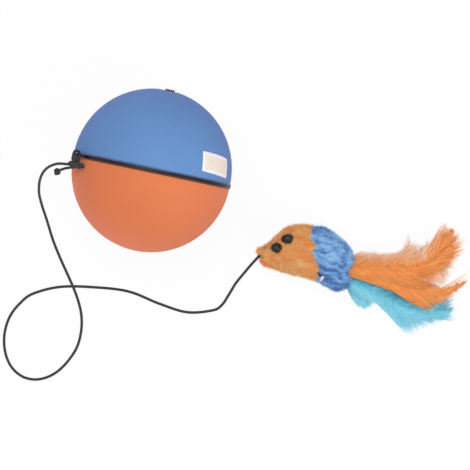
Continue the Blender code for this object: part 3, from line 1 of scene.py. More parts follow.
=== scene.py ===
# %% [markdown]
# # A self rolling cat ball
# Two plastic halves sit on a black ring, and a geared drive unit turns inside them. A braided cord runs
# from the ring over the floor to a plush mouse with feathers. The imported frame already holds each solid in
# its true place, in metres, so this lesson only gives every surface its look.

# %% Frame
import json
import math

import bmesh
import bpy
import numpy as np
from mathutils import Matrix, Vector
from mathutils.bvhtree import BVHTree


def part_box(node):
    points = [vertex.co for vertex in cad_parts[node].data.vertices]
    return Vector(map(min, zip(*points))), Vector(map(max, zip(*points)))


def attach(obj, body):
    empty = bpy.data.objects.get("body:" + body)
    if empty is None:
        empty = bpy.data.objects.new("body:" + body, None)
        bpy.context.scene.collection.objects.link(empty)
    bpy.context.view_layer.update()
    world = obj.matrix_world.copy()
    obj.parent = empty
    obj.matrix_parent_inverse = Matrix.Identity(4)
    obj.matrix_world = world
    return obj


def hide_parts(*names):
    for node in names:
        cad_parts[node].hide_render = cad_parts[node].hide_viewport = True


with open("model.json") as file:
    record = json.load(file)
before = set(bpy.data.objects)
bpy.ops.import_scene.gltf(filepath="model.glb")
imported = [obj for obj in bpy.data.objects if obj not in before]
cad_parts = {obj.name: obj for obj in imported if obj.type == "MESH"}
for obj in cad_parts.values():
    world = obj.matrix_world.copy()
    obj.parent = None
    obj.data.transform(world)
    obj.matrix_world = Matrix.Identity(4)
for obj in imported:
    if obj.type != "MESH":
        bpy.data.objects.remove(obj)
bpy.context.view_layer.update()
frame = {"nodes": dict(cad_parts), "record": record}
NODES = frame["nodes"]
MM = 0.001

# %% [markdown]
# ## Camera
# The toy was laid flat and photographed from straight above, so the camera hangs high over it and looks
# down. A long lens from six metres keeps the ball's sides upright, as an orthographic camera would, and it
# still behaves as a plain perspective camera in every other view. The camera is turned a little, because
# the ball's axis doesn't run quite up the picture.

# %% Camera
SHOT_CENTRE = (49.75 * MM, -24.25 * MM)
SHOT_WIDTH = 246.75 * MM
SHOT_TURN = math.radians(11.8)
CAMERA_HEIGHT = 6.0
SENSOR_WIDTH = 36.0
AXIS_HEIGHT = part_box("middle_ring")[1].z / 2


def linked(name, data):
    """Object in the scene that shows this data."""
    made = bpy.data.objects.new(name, data)
    bpy.context.scene.collection.objects.link(made)
    return made


camera_data = bpy.data.cameras.new("flat_lay_camera")
camera_data.sensor_width = SENSOR_WIDTH
camera_data.lens = SENSOR_WIDTH * (CAMERA_HEIGHT - AXIS_HEIGHT) / SHOT_WIDTH
camera = linked("flat_lay_camera", camera_data)
camera.location = (*SHOT_CENTRE, CAMERA_HEIGHT)
camera.rotation_euler = (0.0, 0.0, SHOT_TURN)
bpy.context.scene.camera = camera
bpy.context.scene.view_settings.view_transform = "Standard"
print("lens in mm", round(camera_data.lens))

# %% [markdown]
# ## Small helpers for meshes
# Every piece below is a mesh worked out from formulas. One helper turns arrays of points and faces into an
# object that rides on a body of the frame, and another stores a value at each point, which a material can
# read. The rest serve tubes: one spaces points evenly on a smooth curve, so that a listed route becomes
# a real line, one sets rings of points round a line without a spin, and one joins neighbouring rings with
# faces.

# %% Mesh helpers
ROUTE_STEPS = 16
NEARLY_PARALLEL = 0.1


def add_piece(name, points, faces, material, body):
    """Smooth object from arrays of points and faces, riding on a body."""
    mesh = bpy.data.meshes.new(name)
    mesh.from_pydata([tuple(point) for point in points], [], [tuple(face) for face in faces])
    mesh.validate()
    mesh.shade_smooth()
    mesh.materials.append(material)
    made = linked(name, mesh)
    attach(made, body)
    return made


def marked(made, label, values):
    """Store a value at each point of a piece, for its material to read."""
    made.data.attributes.new(label, "FLOAT", "POINT").data.foreach_set("value", values)


def smooth_line(points, count):
    """Evenly spaced points on a Catmull-Rom curve through the given ones."""
    points = np.array(points, float)
    ends = np.vstack([2 * points[0] - points[1], points, 2 * points[-1] - points[-2]])
    part = (np.arange(ROUTE_STEPS) / ROUTE_STEPS)[:, None]
    fine = []
    for before, near, far, after in zip(ends, ends[1:], ends[2:], ends[3:]):
        fine.append(0.5 * (2 * near + (far - before) * part
                           + (2 * before - 5 * near + 4 * far - after) * part ** 2
                           + (3 * near - before - 3 * far + after) * part ** 3))
    fine = np.vstack([*fine, points[-1:]])
    reach = np.concatenate([[0.0], np.cumsum(np.linalg.norm(np.diff(fine, axis=0), axis=1))])
    wanted = np.linspace(0.0, reach[-1], count)
    return np.stack([np.interp(wanted, reach, fine[:, axis]) for axis in range(3)], axis=1), reach[-1]


def unit(vectors):
    """Vectors of length one."""
    return vectors / np.maximum(np.linalg.norm(vectors, axis=-1, keepdims=True), 1e-12)


def circle_angles(count):
    """Angles of points spread evenly round a circle."""
    return np.arange(count) * 2 * math.pi / count


def tube_rings(points, radii, sides):
    """Rings of points round a line that don't spin along it, with a radius for each ring or each point."""
    along = unit(np.gradient(points, axis=0))
    side = np.cross(along[0], (0.0, 0.0, 1.0))
    if np.linalg.norm(side) < NEARLY_PARALLEL:
        side = np.cross(along[0], (1.0, 0.0, 0.0))
    side = unit(side)
    across = []
    for direction in along:
        side = unit(side - direction * side.dot(direction))
        across.append(side)
    above = np.cross(along, across)[:, None]
    angle = circle_angles(sides)[:, None]
    circle = np.cos(angle) * np.array(across)[:, None] + np.sin(angle) * above
    return points[:, None] + radii[..., None] * circle


def tube_faces(rings, sides, closed=False):
    """Faces between neighbouring rings of points; a closed tube also joins its last ring to its first."""
    return [(ring * sides + step, ring * sides + (step + 1) % sides,
             (ring + 1) % rings * sides + (step + 1) % sides, (ring + 1) % rings * sides + step)
            for ring in range(rings if closed else rings - 1) for step in range(sides)]


print("helpers ready")

# %% [markdown]
# ## The cord's line
# The real cord is limp, so gravity gives its shape: it drops from the ring, lies on the floor in one loose
# curl and rises to the mouse's mouth. Its points were chosen along the photographed line, and they
# are the same ones that the solid cord follows. The cord shows from end to end, so its length on this line
# is its real length.

# %% Cord line
CORD_DIAMETER = 1.5 * MM
KNOT_MIDDLE = (-40.3, -5.5, 65.4)
CORD_ROUTE = [
    KNOT_MIDDLE, (-43.6, -5.9, 64.4), (-49.2, -6.9, 61.6), (-54.0, -10.3, 55.0), (-56.3, -15.8, 45.4),
    (-55.8, -23.1, 33.4), (-52.9, -29.9, 22.0), (-48.8, -37.3, 12.0), (-43.9, -46.4, 4.8),
    (-38.8, -54.2, 2.1), (-33.6, -61.4, 2.3), (-28.4, -68.6, 2.8), (-24.3, -75.2, 2.0),
    (-21.1, -82.3, 1.1), (-19.5, -90.3, 0.8), (-19.8, -98.7, 0.8), (-22.4, -106.2, 0.8),
    (-26.5, -113.0, 0.8), (-31.6, -117.8, 0.8), (-37.9, -120.6, 0.8), (-44.8, -120.5, 0.8),
    (-51.1, -117.2, 0.8), (-55.5, -111.7, 0.8), (-58.1, -104.9, 0.8), (-58.9, -97.6, 0.8),
    (-57.7, -90.0, 0.8), (-54.1, -82.8, 0.8), (-48.5, -76.5, 0.8), (-35.1, -70.0, 0.8),
    (-17.3, -66.5, 0.8), (0.8, -65.0, 0.8), (18.1, -68.0, 0.8), (33.2, -69.4, 0.8),
    (46.2, -65.7, 0.8), (50.5, -61.9, 0.9), (53.0, -55.8, 1.6), (55.3, -49.3, 3.2),
    (58.2, -43.6, 5.4), (61.0, -38.4, 8.0), (63.1, -34.8, 9.9), (64.9, -31.8, 11.0),
]
CORD_RING_STEP = 0.28 * MM

cord_points = np.array(CORD_ROUTE) * MM
_, CORD_LENGTH = smooth_line(cord_points, 2)
cord_line, _ = smooth_line(cord_points, int(CORD_LENGTH / CORD_RING_STEP))
print("cord length in mm", round(CORD_LENGTH / MM, 1))

# %% [markdown]
# ## Effects that several finishes share
# Moulded plastic, cord and plush all need fine detail that is too small to model. Each effect is a node
# group with named inputs, built once and placed in every material that needs it with its own values. The
# groups only put out values that change over the surface. The shader itself, with its fixed shine, stays in
# the material. The helpers below place nodes and give back their result, so that a chain of nodes reads
# like a formula.

# %% Node group helpers
def group(name, inputs, outputs):
    """Empty node group of plain values: the group, its inputs' sockets and its outputs' sockets."""
    made = bpy.data.node_groups.new(name, "ShaderNodeTree")
    for label, value in inputs.items():
        made.interface.new_socket(label, in_out="INPUT", socket_type="NodeSocketFloat").default_value = value
    for label in outputs:
        made.interface.new_socket(label, in_out="OUTPUT", socket_type="NodeSocketFloat")
    given = made.nodes.new("NodeGroupInput").outputs[:len(inputs)]
    return made, given, made.nodes.new("NodeGroupOutput").inputs


def node(tree, kind, links=None, **values):
    """Node with properties and input values; links names what feeds each input."""
    made = tree.nodes.new(kind)
    for label, value in values.items():
        setattr(made, label, value)
    for label, source in (links or {}).items():
        if isinstance(source, bpy.types.NodeSocket):
            tree.links.new(source, made.inputs[label])
        else:
            made.inputs[label].default_value = source
    return made


def maths(tree, operation, first, second):
    """Result of a calculation with two values or sockets."""
    return node(tree, "ShaderNodeMath", {0: first, 1: second}, operation=operation).outputs[0]


def total(tree, *parts):
    """Sum of sockets, each times its share."""
    result = 0.0
    for source, share in parts:
        result = maths(tree, "ADD", result, maths(tree, "MULTIPLY", source, share))
    return result


def mixed(tree, factor, first, second):
    """Colour between two colours or colour sockets."""
    return node(tree, "ShaderNodeMix", {0: factor, 6: first, 7: second}, data_type="RGBA").outputs[2]


def ranged(tree, value, low, high, to_low=0.0, to_high=1.0):
    """Value moved from one range to another and kept inside it."""
    return node(tree, "ShaderNodeMapRange", {0: value, 1: low, 2: high, 3: to_low, 4: to_high}).outputs[0]


def stored(tree, label):
    """Value that is stored at the piece's points."""
    return node(tree, "ShaderNodeAttribute", attribute_name=label).outputs["Fac"]


def stretched(tree, scale=(1.0, 1.0, 1.0)):
    """Place on the piece, stretched by a factor along each axis."""
    place = node(tree, "ShaderNodeTexCoord").outputs["Object"]
    return node(tree, "ShaderNodeVectorMath", {0: place, 1: scale}, operation="MULTIPLY").outputs[0]


def noise(tree, scale, detail, place=None, **more):
    """Noise over the piece, or over another place, from about 0 to 1."""
    place = stretched(tree) if place is None else place
    links = {"Vector": place, "Scale": scale, "Detail": detail, **more}
    return node(tree, "ShaderNodeTexNoise", links).outputs["Fac"]


print("node helpers ready")

# %% [markdown]
# ### Grain, scuffs and streaks
# Satin plastic has an eroded skin of tiny grains, and handling leaves faint pale scuffs on it. Plush and
# feathers show long streaks instead, because their fibres lie one way. Noise stretched along one axis gives
# those streaks. All three are measured in metres on the piece, so that they keep their real scale on large
# and small parts alike.

# %% Shared effects
GRAIN_SIZE = 0.35 * MM
SCUFF_SIZE = 9.0 * MM
SCRATCH_STRETCH = (9.0, 1.0, 4.0)
WAVE_SIZE = 8.0 * MM
WAVE_REACH = 10.0 * MM


def grain_group():
    """Fine moulded grain: a height for bumps and a value for small changes of shine."""
    inputs = {"Grain size": GRAIN_SIZE, "Depth": 0.5}
    made, (size, depth), out = group("moulded_grain", inputs, ["Height", "Shine"])
    fine = noise(made, maths(made, "DIVIDE", 1.0, size), 3.0, Roughness=0.6)
    broad = noise(made, 1 / SCUFF_SIZE, 2.0)
    made.links.new(maths(made, "MULTIPLY", fine, depth), out["Height"])
    made.links.new(maths(made, "MULTIPLY", maths(made, "ADD", fine, broad), 0.5), out["Shine"])
    return made


def scuff_group():
    """Faint rubbed marks: a mask with thin scratches and soft worn patches."""
    inputs = {"Amount": 0.5, "Mark size": SCUFF_SIZE}
    made, (amount, size), out = group("scuffs", inputs, ["Mask"])
    scale = maths(made, "DIVIDE", 1.0, size)
    patch = noise(made, scale, 6.0, Roughness=0.7)
    thin = noise(made, scale, 4.0, stretched(made, SCRATCH_STRETCH), Distortion=1.5)
    both = maths(made, "MAXIMUM", ranged(made, patch, 0.55, 0.75), ranged(made, thin, 0.62, 0.66))
    made.links.new(maths(made, "MULTIPLY", both, amount), out["Mask"])
    return made


def streak_group():
    """Long streaks of fibres: a mask from dark to light along the piece's X axis, with waves across it."""
    inputs = {"Width": 1.4 * MM, "Length": 9.0 * MM, "Waviness": 0.4}
    made, (width, length, waviness), out = group("fibre_streaks", inputs, ["Mask"])
    x, y, z = node(made, "ShaderNodeSeparateXYZ", {0: stretched(made)}).outputs
    wave = maths(made, "SUBTRACT", noise(made, 1 / WAVE_SIZE, 1.0), 0.5)
    shift = maths(made, "MULTIPLY", wave, maths(made, "MULTIPLY", waviness, WAVE_REACH))
    along = maths(made, "DIVIDE", x, length)
    across = maths(made, "DIVIDE", maths(made, "ADD", y, shift), width)
    upward = maths(made, "DIVIDE", z, width)
    joined = node(made, "ShaderNodeCombineXYZ", {0: along, 1: across, 2: upward}).outputs[0]
    fibres = noise(made, 1.0, 3.0, joined, Roughness=0.55)
    made.links.new(ranged(made, fibres, 0.36, 0.64), out["Mask"])
    return made


GRAIN = grain_group()
SCUFFS = scuff_group()
STREAKS = streak_group()
print("shared effects", [made.name for made in (GRAIN, SCUFFS, STREAKS)])

# %% [markdown]
# ### Colours as they are seen
# Colours are read from the photograph as the usual red, green and blue of a screen, but shaders work
# with linear light. One small function converts them, so that the values below stay easy to compare with a
# picture.

# %% Colour helper
def seen(red, green, blue):
    """Linear colour, with alpha, from screen values of 0 to 255."""
    shares = [value / 255 for value in (red, green, blue)]
    return (*[s / 12.92 if s < 0.04045 else ((s + 0.055) / 1.055) ** 2.4 for s in shares], 1.0)


print("mid grey", round(seen(128, 128, 128)[0], 3))

# %% [markdown]
# ## Moulded plastic
# The shells, ring, gears and covers are moulded parts that differ in colour, shine and grain only, so one
# function makes them all. The grain bumps the surface, scuffs lighten the colour and roughen it, and a slow
# drift of colour keeps a large face from looking painted.

# %% Plastic
DRIFT_SIZE = 30 * MM
DARK_DRIFT = 0.93
LIGHT_DRIFT = 1.06
SCUFF_ROUGHNESS = 0.25
GRAIN_DEPTH = 0.02 * MM


def with_values(made, values):
    """Node with plain values on its inputs; _ stands for a space in an input's name."""
    for label, value in values.items():
        made.inputs[label.replace("_", " ")].default_value = value
    return made


def new_material(name, **values):
    """Material, its node tree and its shader, whose inputs have these plain values."""
    made = bpy.data.materials.new(name)
    made.use_nodes = True
    return made, made.node_tree, with_values(made.node_tree.nodes["Principled BSDF"], values)


def placed(tree, shared, **values):
    """Outputs of a shared group in a material, with this material's values."""
    return with_values(node(tree, "ShaderNodeGroup", node_tree=shared), values).outputs


def bumped(tree, height, distance):
    """Surface direction bent by a height."""
    return node(tree, "ShaderNodeBump", {"Height": height, "Distance": distance, "Strength": 1.0}).outputs[0]


def feed(tree, shader, **sources):
    """Link sockets to the shader's inputs; _ stands for a space in an input's name."""
    for label, source in sources.items():
        tree.links.new(source, shader.inputs[label.replace("_", " ")])


def moulded(name, colour, worn, shine=(0.42, 0.58), wear=0.35, **values):
    """Satin moulded plastic."""
    made, tree, shader = new_material(name, **values)
    height, gloss = placed(tree, GRAIN, Grain_size=GRAIN_SIZE, Depth=1.0)
    marks = placed(tree, SCUFFS, Amount=wear, Mark_size=SCUFF_SIZE)[0]
    dark, light = ([min(1.0, share * value) for value in colour[:3]] + [1.0]
                   for share in (DARK_DRIFT, LIGHT_DRIFT))
    tone = mixed(tree, noise(tree, 1 / DRIFT_SIZE, 2.0), dark, light)
    rough = total(tree, (ranged(tree, gloss, 0.0, 1.0, *shine), 1.0), (marks, SCUFF_ROUGHNESS))
    feed(tree, shader, Base_Color=mixed(tree, marks, tone, worn), Roughness=rough,
         Normal=bumped(tree, height, GRAIN_DEPTH))
    return made


BLUE_PLASTIC = moulded("blue_plastic", seen(103, 149, 199), seen(134, 170, 214), shine=(0.54, 0.7), wear=0.1,
                       Specular_IOR_Level=0.1, Sheen_Weight=0.05, Sheen_Roughness=0.4,
                       Sheen_Tint=(0.9, 0.3, 1.0, 1.0))
ORANGE_PLASTIC = moulded("orange_plastic", seen(222, 125, 73), seen(232, 150, 112), shine=(0.5, 0.66),
                         wear=0.1, Specular_IOR_Level=0.2, Sheen_Weight=1.0, Sheen_Roughness=0.6,
                         Sheen_Tint=(1.0, 0.4, 0.22, 1.0))
RING_PLASTIC = moulded("ring_plastic", seen(18, 18, 26), seen(40, 42, 50), shine=(0.3, 0.42), wear=0.08,
                       Specular_IOR_Level=0.2)
BLACK_PLASTIC = moulded("black_plastic", seen(30, 30, 36), seen(84, 86, 96), shine=(0.35, 0.5), wear=0.25)
GREY_PLASTIC = moulded("grey_plastic", seen(150, 152, 156), seen(188, 190, 194))
WHITE_PLASTIC = moulded("white_plastic", seen(226, 226, 218), seen(240, 240, 236), shine=(0.3, 0.45))
CELL_JACKET = moulded("cell_jacket", seen(70, 74, 82), seen(140, 142, 148), shine=(0.2, 0.32), wear=0.2)
print("plastics made")

# %% [markdown]
# ## Metal
# Screws, shafts, the motor's can and the contacts are bare metal. A metal shader with fine scratches that
# run round the part reads as turned or drawn metal. Iron parts get a darker, duller version of the same
# finish.

# %% Metal
TURNING_STRETCH = (1.0, 14.0, 1.0)
DULL_PATCH = 3.0 * MM


def bare_metal(name, colour, dull, shine=(0.22, 0.42), metallic=1.0):
    """Metal with fine turning marks and a few dull patches."""
    made, tree, shader = new_material(name, Metallic=metallic)
    marks = placed(tree, SCUFFS, Amount=0.6, Mark_size=DULL_PATCH)[0]
    lines = noise(tree, 1 / (1.2 * MM), 3.0, stretched(tree, TURNING_STRETCH))
    feed(tree, shader, Base_Color=mixed(tree, marks, colour, dull),
         Roughness=ranged(tree, lines, 0.0, 1.0, *shine), Normal=bumped(tree, lines, 0.01 * MM))
    return made


STEEL = bare_metal("steel", seen(196, 198, 204), seen(150, 150, 156))
SCREW_STEEL = bare_metal("screw_steel", seen(182, 184, 190), seen(128, 128, 134), shine=(0.28, 0.45))
MOTOR_STEEL = bare_metal("motor_steel", seen(204, 204, 202), seen(168, 166, 160), shine=(0.3, 0.45))
DARK_IRON = bare_metal("dark_iron", seen(78, 78, 82), seen(48, 46, 46), shine=(0.5, 0.7), metallic=0.5)
BRASS = bare_metal("contact_brass", seen(214, 178, 110), seen(168, 132, 78))
print("metals made")

# %% [markdown]
# ## Inner parts keep their solids
# The drive unit shows only when the ball is opened, and its solids already have the right shape. Each node
# just gets a finish by the name of its material in the record. A weld and a narrow bevel soften the moulded
# edges that catch light, and they leave the node's own mesh untouched.

# %% Finishes of the carried-over nodes
FINISHES = {
    "blue_plastic": BLUE_PLASTIC, "orange_plastic": ORANGE_PLASTIC, "black_plastic": BLACK_PLASTIC,
    "grey_plastic": GREY_PLASTIC, "white_plastic": WHITE_PLASTIC, "cell_jacket": CELL_JACKET, "steel": STEEL,
    "screw_steel": SCREW_STEEL, "motor_steel": MOTOR_STEEL, "dark_iron": DARK_IRON, "contact_brass": BRASS,
}
SLOT_OF = {part["node"]: part["material_slot"] for part in frame["record"]["subparts"]}
BEVELLED = ("drive_chassis", "gearbox_cover", "rear_plate", "switch_body", "motor_end_bell", "motor_can",
            "battery_cell")
WELD_REACH = 0.002 * MM
EDGE_BEVEL = 0.12 * MM
BEVEL_ANGLE = math.radians(50)

for name, solid in NODES.items():
    if SLOT_OF[name] in FINISHES:
        solid.data.materials.clear()
        solid.data.materials.append(FINISHES[SLOT_OF[name]])
    if name in BEVELLED:
        weld = solid.modifiers.new("weld", "WELD")
        weld.merge_threshold = WELD_REACH
        bevel = solid.modifiers.new("soft_edges", "BEVEL")
        bevel.width = EDGE_BEVEL
        bevel.segments = 2
        bevel.limit_method = "ANGLE"
        bevel.angle_limit = BEVEL_ANGLE
print("finished nodes", sum(SLOT_OF[name] in FINISHES for name in NODES))

# %% [markdown]
# ## Ball
# The solid shells are made of flat facets. For the picture each is copied, its outer faces are cut finer
# and their points are pushed onto the true round, while all inside features stay. The round is the one that
# touches the middle of each facet, so that the ball neither grows nor sinks into the floor.

# %% Ball sizes
RING_WIDTH = 2.4 * MM
RIM_BEVEL = 0.1 * MM
ROUND_CUTS = 3
ROUND_FACETS = 40
TOUCH = 0.02 * MM
SHARP_ANGLE = math.radians(32)
RING_RADIUS = AXIS_HEIGHT
SHELL_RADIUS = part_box("orange_shell")[1].x
FACET_SHARE = math.cos(math.pi / ROUND_FACETS)
print("ring and shell radius in mm", round(RING_RADIUS / MM, 2), round(SHELL_RADIUS / MM, 2))

# %% [markdown]
# ### Rounded copies of the shells
# A node's own mesh is never changed. One helper opens a copy of it, with its split corners joined, and
# another turns the edited copy into a piece that stands for the node. A point counts as lying on the
# outside when it is within a few hundredths of a millimetre of the round. The rim of each half gets a
# narrow bevel, as a mould gives it.

# %% Rounded copies of the shells
def welded_copy(name):
    """Mesh of a node with its split corners joined."""
    bm = bmesh.new()
    bm.from_mesh(NODES[name].data)
    bmesh.ops.remove_doubles(bm, verts=bm.verts, dist=WELD_REACH)
    return bm


def bevelled(bm, edges, width):
    """Round some edges of a copied mesh."""
    bmesh.ops.bevel(bm, geom=edges, offset=width, segments=2, profile=0.5, affect="EDGES", clamp_overlap=True)


def finish_copy(bm, name, material, body):
    """Object from a copied mesh that stands for its node."""
    mesh = bpy.data.meshes.new(name + "_round")
    bm.to_mesh(mesh)
    bm.free()
    mesh.shade_smooth()
    mesh.set_sharp_from_angle(angle=SHARP_ANGLE)
    mesh.materials.clear()
    mesh.materials.append(material)
    made = linked(name + "_round", mesh)
    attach(made, body)
    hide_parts(name)


def half_centre(side):
    """Centre of the half sphere on one side of the ring, which is 1 for blue and -1 for orange."""
    return Vector((0.0, side * RING_WIDTH / 2, AXIS_HEIGHT))


def rounded_shell(name, side, material, body):
    """Shell half with its outside on a true sphere and a soft rim."""
    bm = welded_copy(name)
    centre = half_centre(side)

    def reach(vert):
        return (vert.co - centre).length

    corner = SHELL_RADIUS / FACET_SHARE
    outer = [face for face in bm.faces if all(reach(vert) > corner - 3 * TOUCH for vert in face.verts)]
    edges = list({edge for face in outer for edge in face.edges})
    bmesh.ops.subdivide_edges(bm, edges=edges, cuts=ROUND_CUTS, use_grid_fill=True)
    for vert in bm.verts:
        if reach(vert) > SHELL_RADIUS * FACET_SHARE - TOUCH:
            vert.co = centre + (vert.co - centre).normalized() * SHELL_RADIUS
    on_round = {vert for vert in bm.verts if reach(vert) > SHELL_RADIUS - TOUCH}
    low = min(abs(vert.co.y) for vert in on_round)
    rim = [edge for edge in bm.edges
           if all(vert in on_round and abs(vert.co.y) < low + TOUCH for vert in edge.verts)]
    bevelled(bm, rim, RIM_BEVEL)
    print(name, "outer faces", len(outer), "rim edges", len(rim), "faces", len(bm.faces))
    finish_copy(bm, name, material, body)


rounded_shell("blue_shell", 1, BLUE_PLASTIC, "blue_half")
rounded_shell("orange_shell", -1, ORANGE_PLASTIC, "ball")

# %% [markdown]
# ### Ring
# The ring stands half a millimetre proud of the shells and takes all the rubbing on the floor. Its solid
# band is faceted, so a copy draws it in a little, and a true round band is swept over it from a profile, as
# on a lathe. The band's two lips nearly close the seams beside the shells, and each lip has a painted
# reflection of its shell's colour, in patches.

# %% Ring core and band
BAND_TURNS = 160
BAND_EDGE = [(-1.3, -1.4), (-0.42, -1.4), (-0.34, -1.34), (-0.04, -0.94), (0.0, -0.84), (0.0, -0.24),
             (-0.08, -0.16)]
BAND_PROFILE = BAND_EDGE + [(out, -along) for out, along in reversed(BAND_EDGE)]
BAND_LIP = 0.9 * MM
CORE_DEPTH = 0.6 * MM
CORE_SINK = 0.35 * MM
REFLECTION_PATCH_SIZE = 4 * MM


def ring_core():
    """Copy of the ring whose faceted band lies under the round one."""
    bm = welded_copy("middle_ring")
    corner = RING_RADIUS / FACET_SHARE
    for vert in bm.verts:
        reach = math.hypot(vert.co.x, vert.co.z - AXIS_HEIGHT)
        if corner - CORE_DEPTH < reach < corner + TOUCH and abs(vert.co.y) < RING_WIDTH / 2 + TOUCH:
            share = 1 - CORE_SINK / reach
            vert.co.x *= share
            vert.co.z = AXIS_HEIGHT + (vert.co.z - AXIS_HEIGHT) * share
    finish_copy(bm, "middle_ring", RING_PLASTIC, "ball")


def with_painted_shell_reflections(made):
    """Ring plastic with a painted reflection of each shell's colour on its lips."""
    tree = made.node_tree
    shader = tree.nodes["Principled BSDF"]
    plain = shader.inputs["Base Color"].links[0].from_socket
    # Painted reflection of each shell's colour on the band's lips, in patches.
    share = ranged(tree, noise(tree, 1 / REFLECTION_PATCH_SIZE, 4.0), 0.3, 0.6, 0.6, 1.0)
    lip = stored(tree, "lip")
    lips = [maths(tree, "MAXIMUM", maths(tree, "MULTIPLY", lip, side), 0.0) for side in (1.0, -1.0)]
    blue, orange = (maths(tree, "MULTIPLY", one_lip, share) for one_lip in lips)
    tinted = mixed(tree, orange, mixed(tree, blue, plain, seen(104, 118, 152)), seen(118, 70, 50))
    feed(tree, shader, Base_Color=tinted)
    return made


def ring_band():
    """Band turned on the ball's axis."""
    out, along = (np.array(BAND_PROFILE) * MM).T
    turn = circle_angles(BAND_TURNS)
    points = np.stack([np.outer(np.cos(turn), RING_RADIUS + out), np.tile(along, (BAND_TURNS, 1)),
                       AXIS_HEIGHT + np.outer(np.sin(turn), RING_RADIUS + out)], axis=2)
    faces = tube_faces(BAND_TURNS, len(out), closed=True)
    made = add_piece("ring_band", points.reshape(-1, 3), faces, BAND_PLASTIC, "ball")
    made.data.set_sharp_from_angle(angle=SHARP_ANGLE)
    marked(made, "lip", np.tile(np.sign(along) * (np.abs(along) > BAND_LIP), BAND_TURNS))
    print("ring band faces", len(faces))


BAND_PLASTIC = with_painted_shell_reflections(moulded("band_plastic", seen(22, 22, 28), seen(48, 50, 58), shine=(0.34, 0.46),
                                  wear=0.1, Specular_IOR_Level=0.25))
ring_core()
ring_band()

# %% [markdown]
# ### Switch knob
# The ridged knob stands a little above the ball's pole, where a finger can push it. Its solid ends just
# over the shell, so a copy has its upper half stretched, and its edges are rounded as moulded rubber is.

# %% Raised knob
KNOB_RISE = 0.45 * MM
GRIP_HEIGHT = 1.3 * MM
KNOB_EDGE_ANGLE = 0.9


def raised_knob():
    """Copy of the knob with a taller grip."""
    bm = welded_copy("switch_knob")
    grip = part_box("switch_knob")[1].y - GRIP_HEIGHT
    for vert in bm.verts:
        if vert.co.y > grip:
            vert.co.y += KNOB_RISE
    edges = [edge for edge in bm.edges if edge.is_manifold and edge.calc_face_angle() > KNOB_EDGE_ANGLE]
    bevelled(bm, edges, EDGE_BEVEL / 2)
    finish_copy(bm, "switch_knob", KNOB_RUBBER, "knob")
    print("knob edges rounded", len(edges))


KNOB_RUBBER = moulded("knob_rubber", seen(16, 16, 18), seen(50, 50, 54), shine=(0.55, 0.7), wear=0.1,
                      Specular_IOR_Level=0.2)
raised_knob()

# %% [markdown]
# ### Sticker
# A small blank sticker is pressed on the blue half. It is a thin sheet that follows the sphere, so its grid
# is spread between four corners on the sphere and given a little thickness. A pale border round a cream
# field is all it shows.

# %% Sticker
STICKER_CORNERS = [(24.4, 15.3), (37.4, 13.8), (39.0, 3.7), (26.0, 5.0)]
STICKER_GRID = 24
STICKER_LIFT = 0.03 * MM
STICKER_THICKNESS = 0.09 * MM
STICKER_BORDER = 0.07
CORNER_START = 0.8
CORNER_PULL = 0.008


def on_blue_half(x, y):
    """Point on the blue half's upper side, over a place on the floor."""
    centre = half_centre(1)
    flat = Vector((x, y - centre.y))
    return np.array((x, y, centre.z + math.sqrt(SHELL_RADIUS ** 2 - flat.length_squared)))


def sticker_material():
    """Blank vinyl: white border and cream field, slightly scuffed."""
    made, tree, shader = new_material("sticker_vinyl", Coat_Weight=0.15, Coat_Roughness=0.3)
    marks = placed(tree, SCUFFS, Amount=0.5, Mark_size=3.0 * MM)[0]
    inside = ranged(tree, stored(tree, "border"), STICKER_BORDER, STICKER_BORDER * 1.3)
    field = mixed(tree, inside, seen(248, 252, 249), seen(243, 239, 214))
    height, gloss = placed(tree, GRAIN, Grain_size=0.2 * MM, Depth=1.0)
    feed(tree, shader, Base_Color=mixed(tree, marks, field, seen(214, 208, 204)),
         Roughness=ranged(tree, gloss, 0.0, 1.0, 0.35, 0.55), Normal=bumped(tree, height, 0.01 * MM))
    return made


def drawn_in(share, other):
    """Share of the way across, drawn in a little where both shares are near an end, for a rounded corner."""
    pull = CORNER_PULL * max(0.0, (abs(2 * other - 1) - CORNER_START) / (1 - CORNER_START)) ** 2
    return share + (0.5 - share) * 2 * pull * (abs(2 * share - 1) > CORNER_START)


def sticker():
    """Thin sheet on the blue half with rounded corners."""
    corners = [on_blue_half(x * MM, y * MM) for x, y in STICKER_CORNERS]
    centre = np.array(half_centre(1))
    shares = np.linspace(0.0, 1.0, STICKER_GRID + 1)
    directions, borders = [], []
    for down in shares:
        left = corners[3] - corners[0]
        right = corners[2] - corners[1]
        for along in shares:
            start = corners[0] + left * drawn_in(down, along)
            end = corners[1] + right * drawn_in(down, along)
            directions.append(unit(start + (end - start) * drawn_in(along, down) - centre))
            borders.append(min(along, 1 - along, (1 - down) / 2, down / 2))
    lower = SHELL_RADIUS + STICKER_LIFT
    heights = (lower + STICKER_THICKNESS, lower)
    points = [centre + direction * height for height in heights for direction in directions]
    row = STICKER_GRID + 1
    below = row * row
    faces = []
    for first in (down * row + along for down in range(STICKER_GRID) for along in range(STICKER_GRID)):
        cell = (first, first + 1, first + row + 1, first + row)
        faces += [cell, tuple(index + below for index in reversed(cell))]
    ring = [*range(row), *range(2 * row - 1, below, row), *range(below - 2, below - row - 1, -1),
            *range(below - 2 * row, 0, -row)]
    faces += [(far, near, near + below, far + below) for near, far in zip(ring, ring[1:] + ring[:1])]
    made = add_piece("blank_sticker", points, faces, sticker_material(), "blue_half")
    marked(made, "border", borders + borders)
    print("sticker size in mm", [round(value / MM, 1) for value in made.dimensions])


sticker()
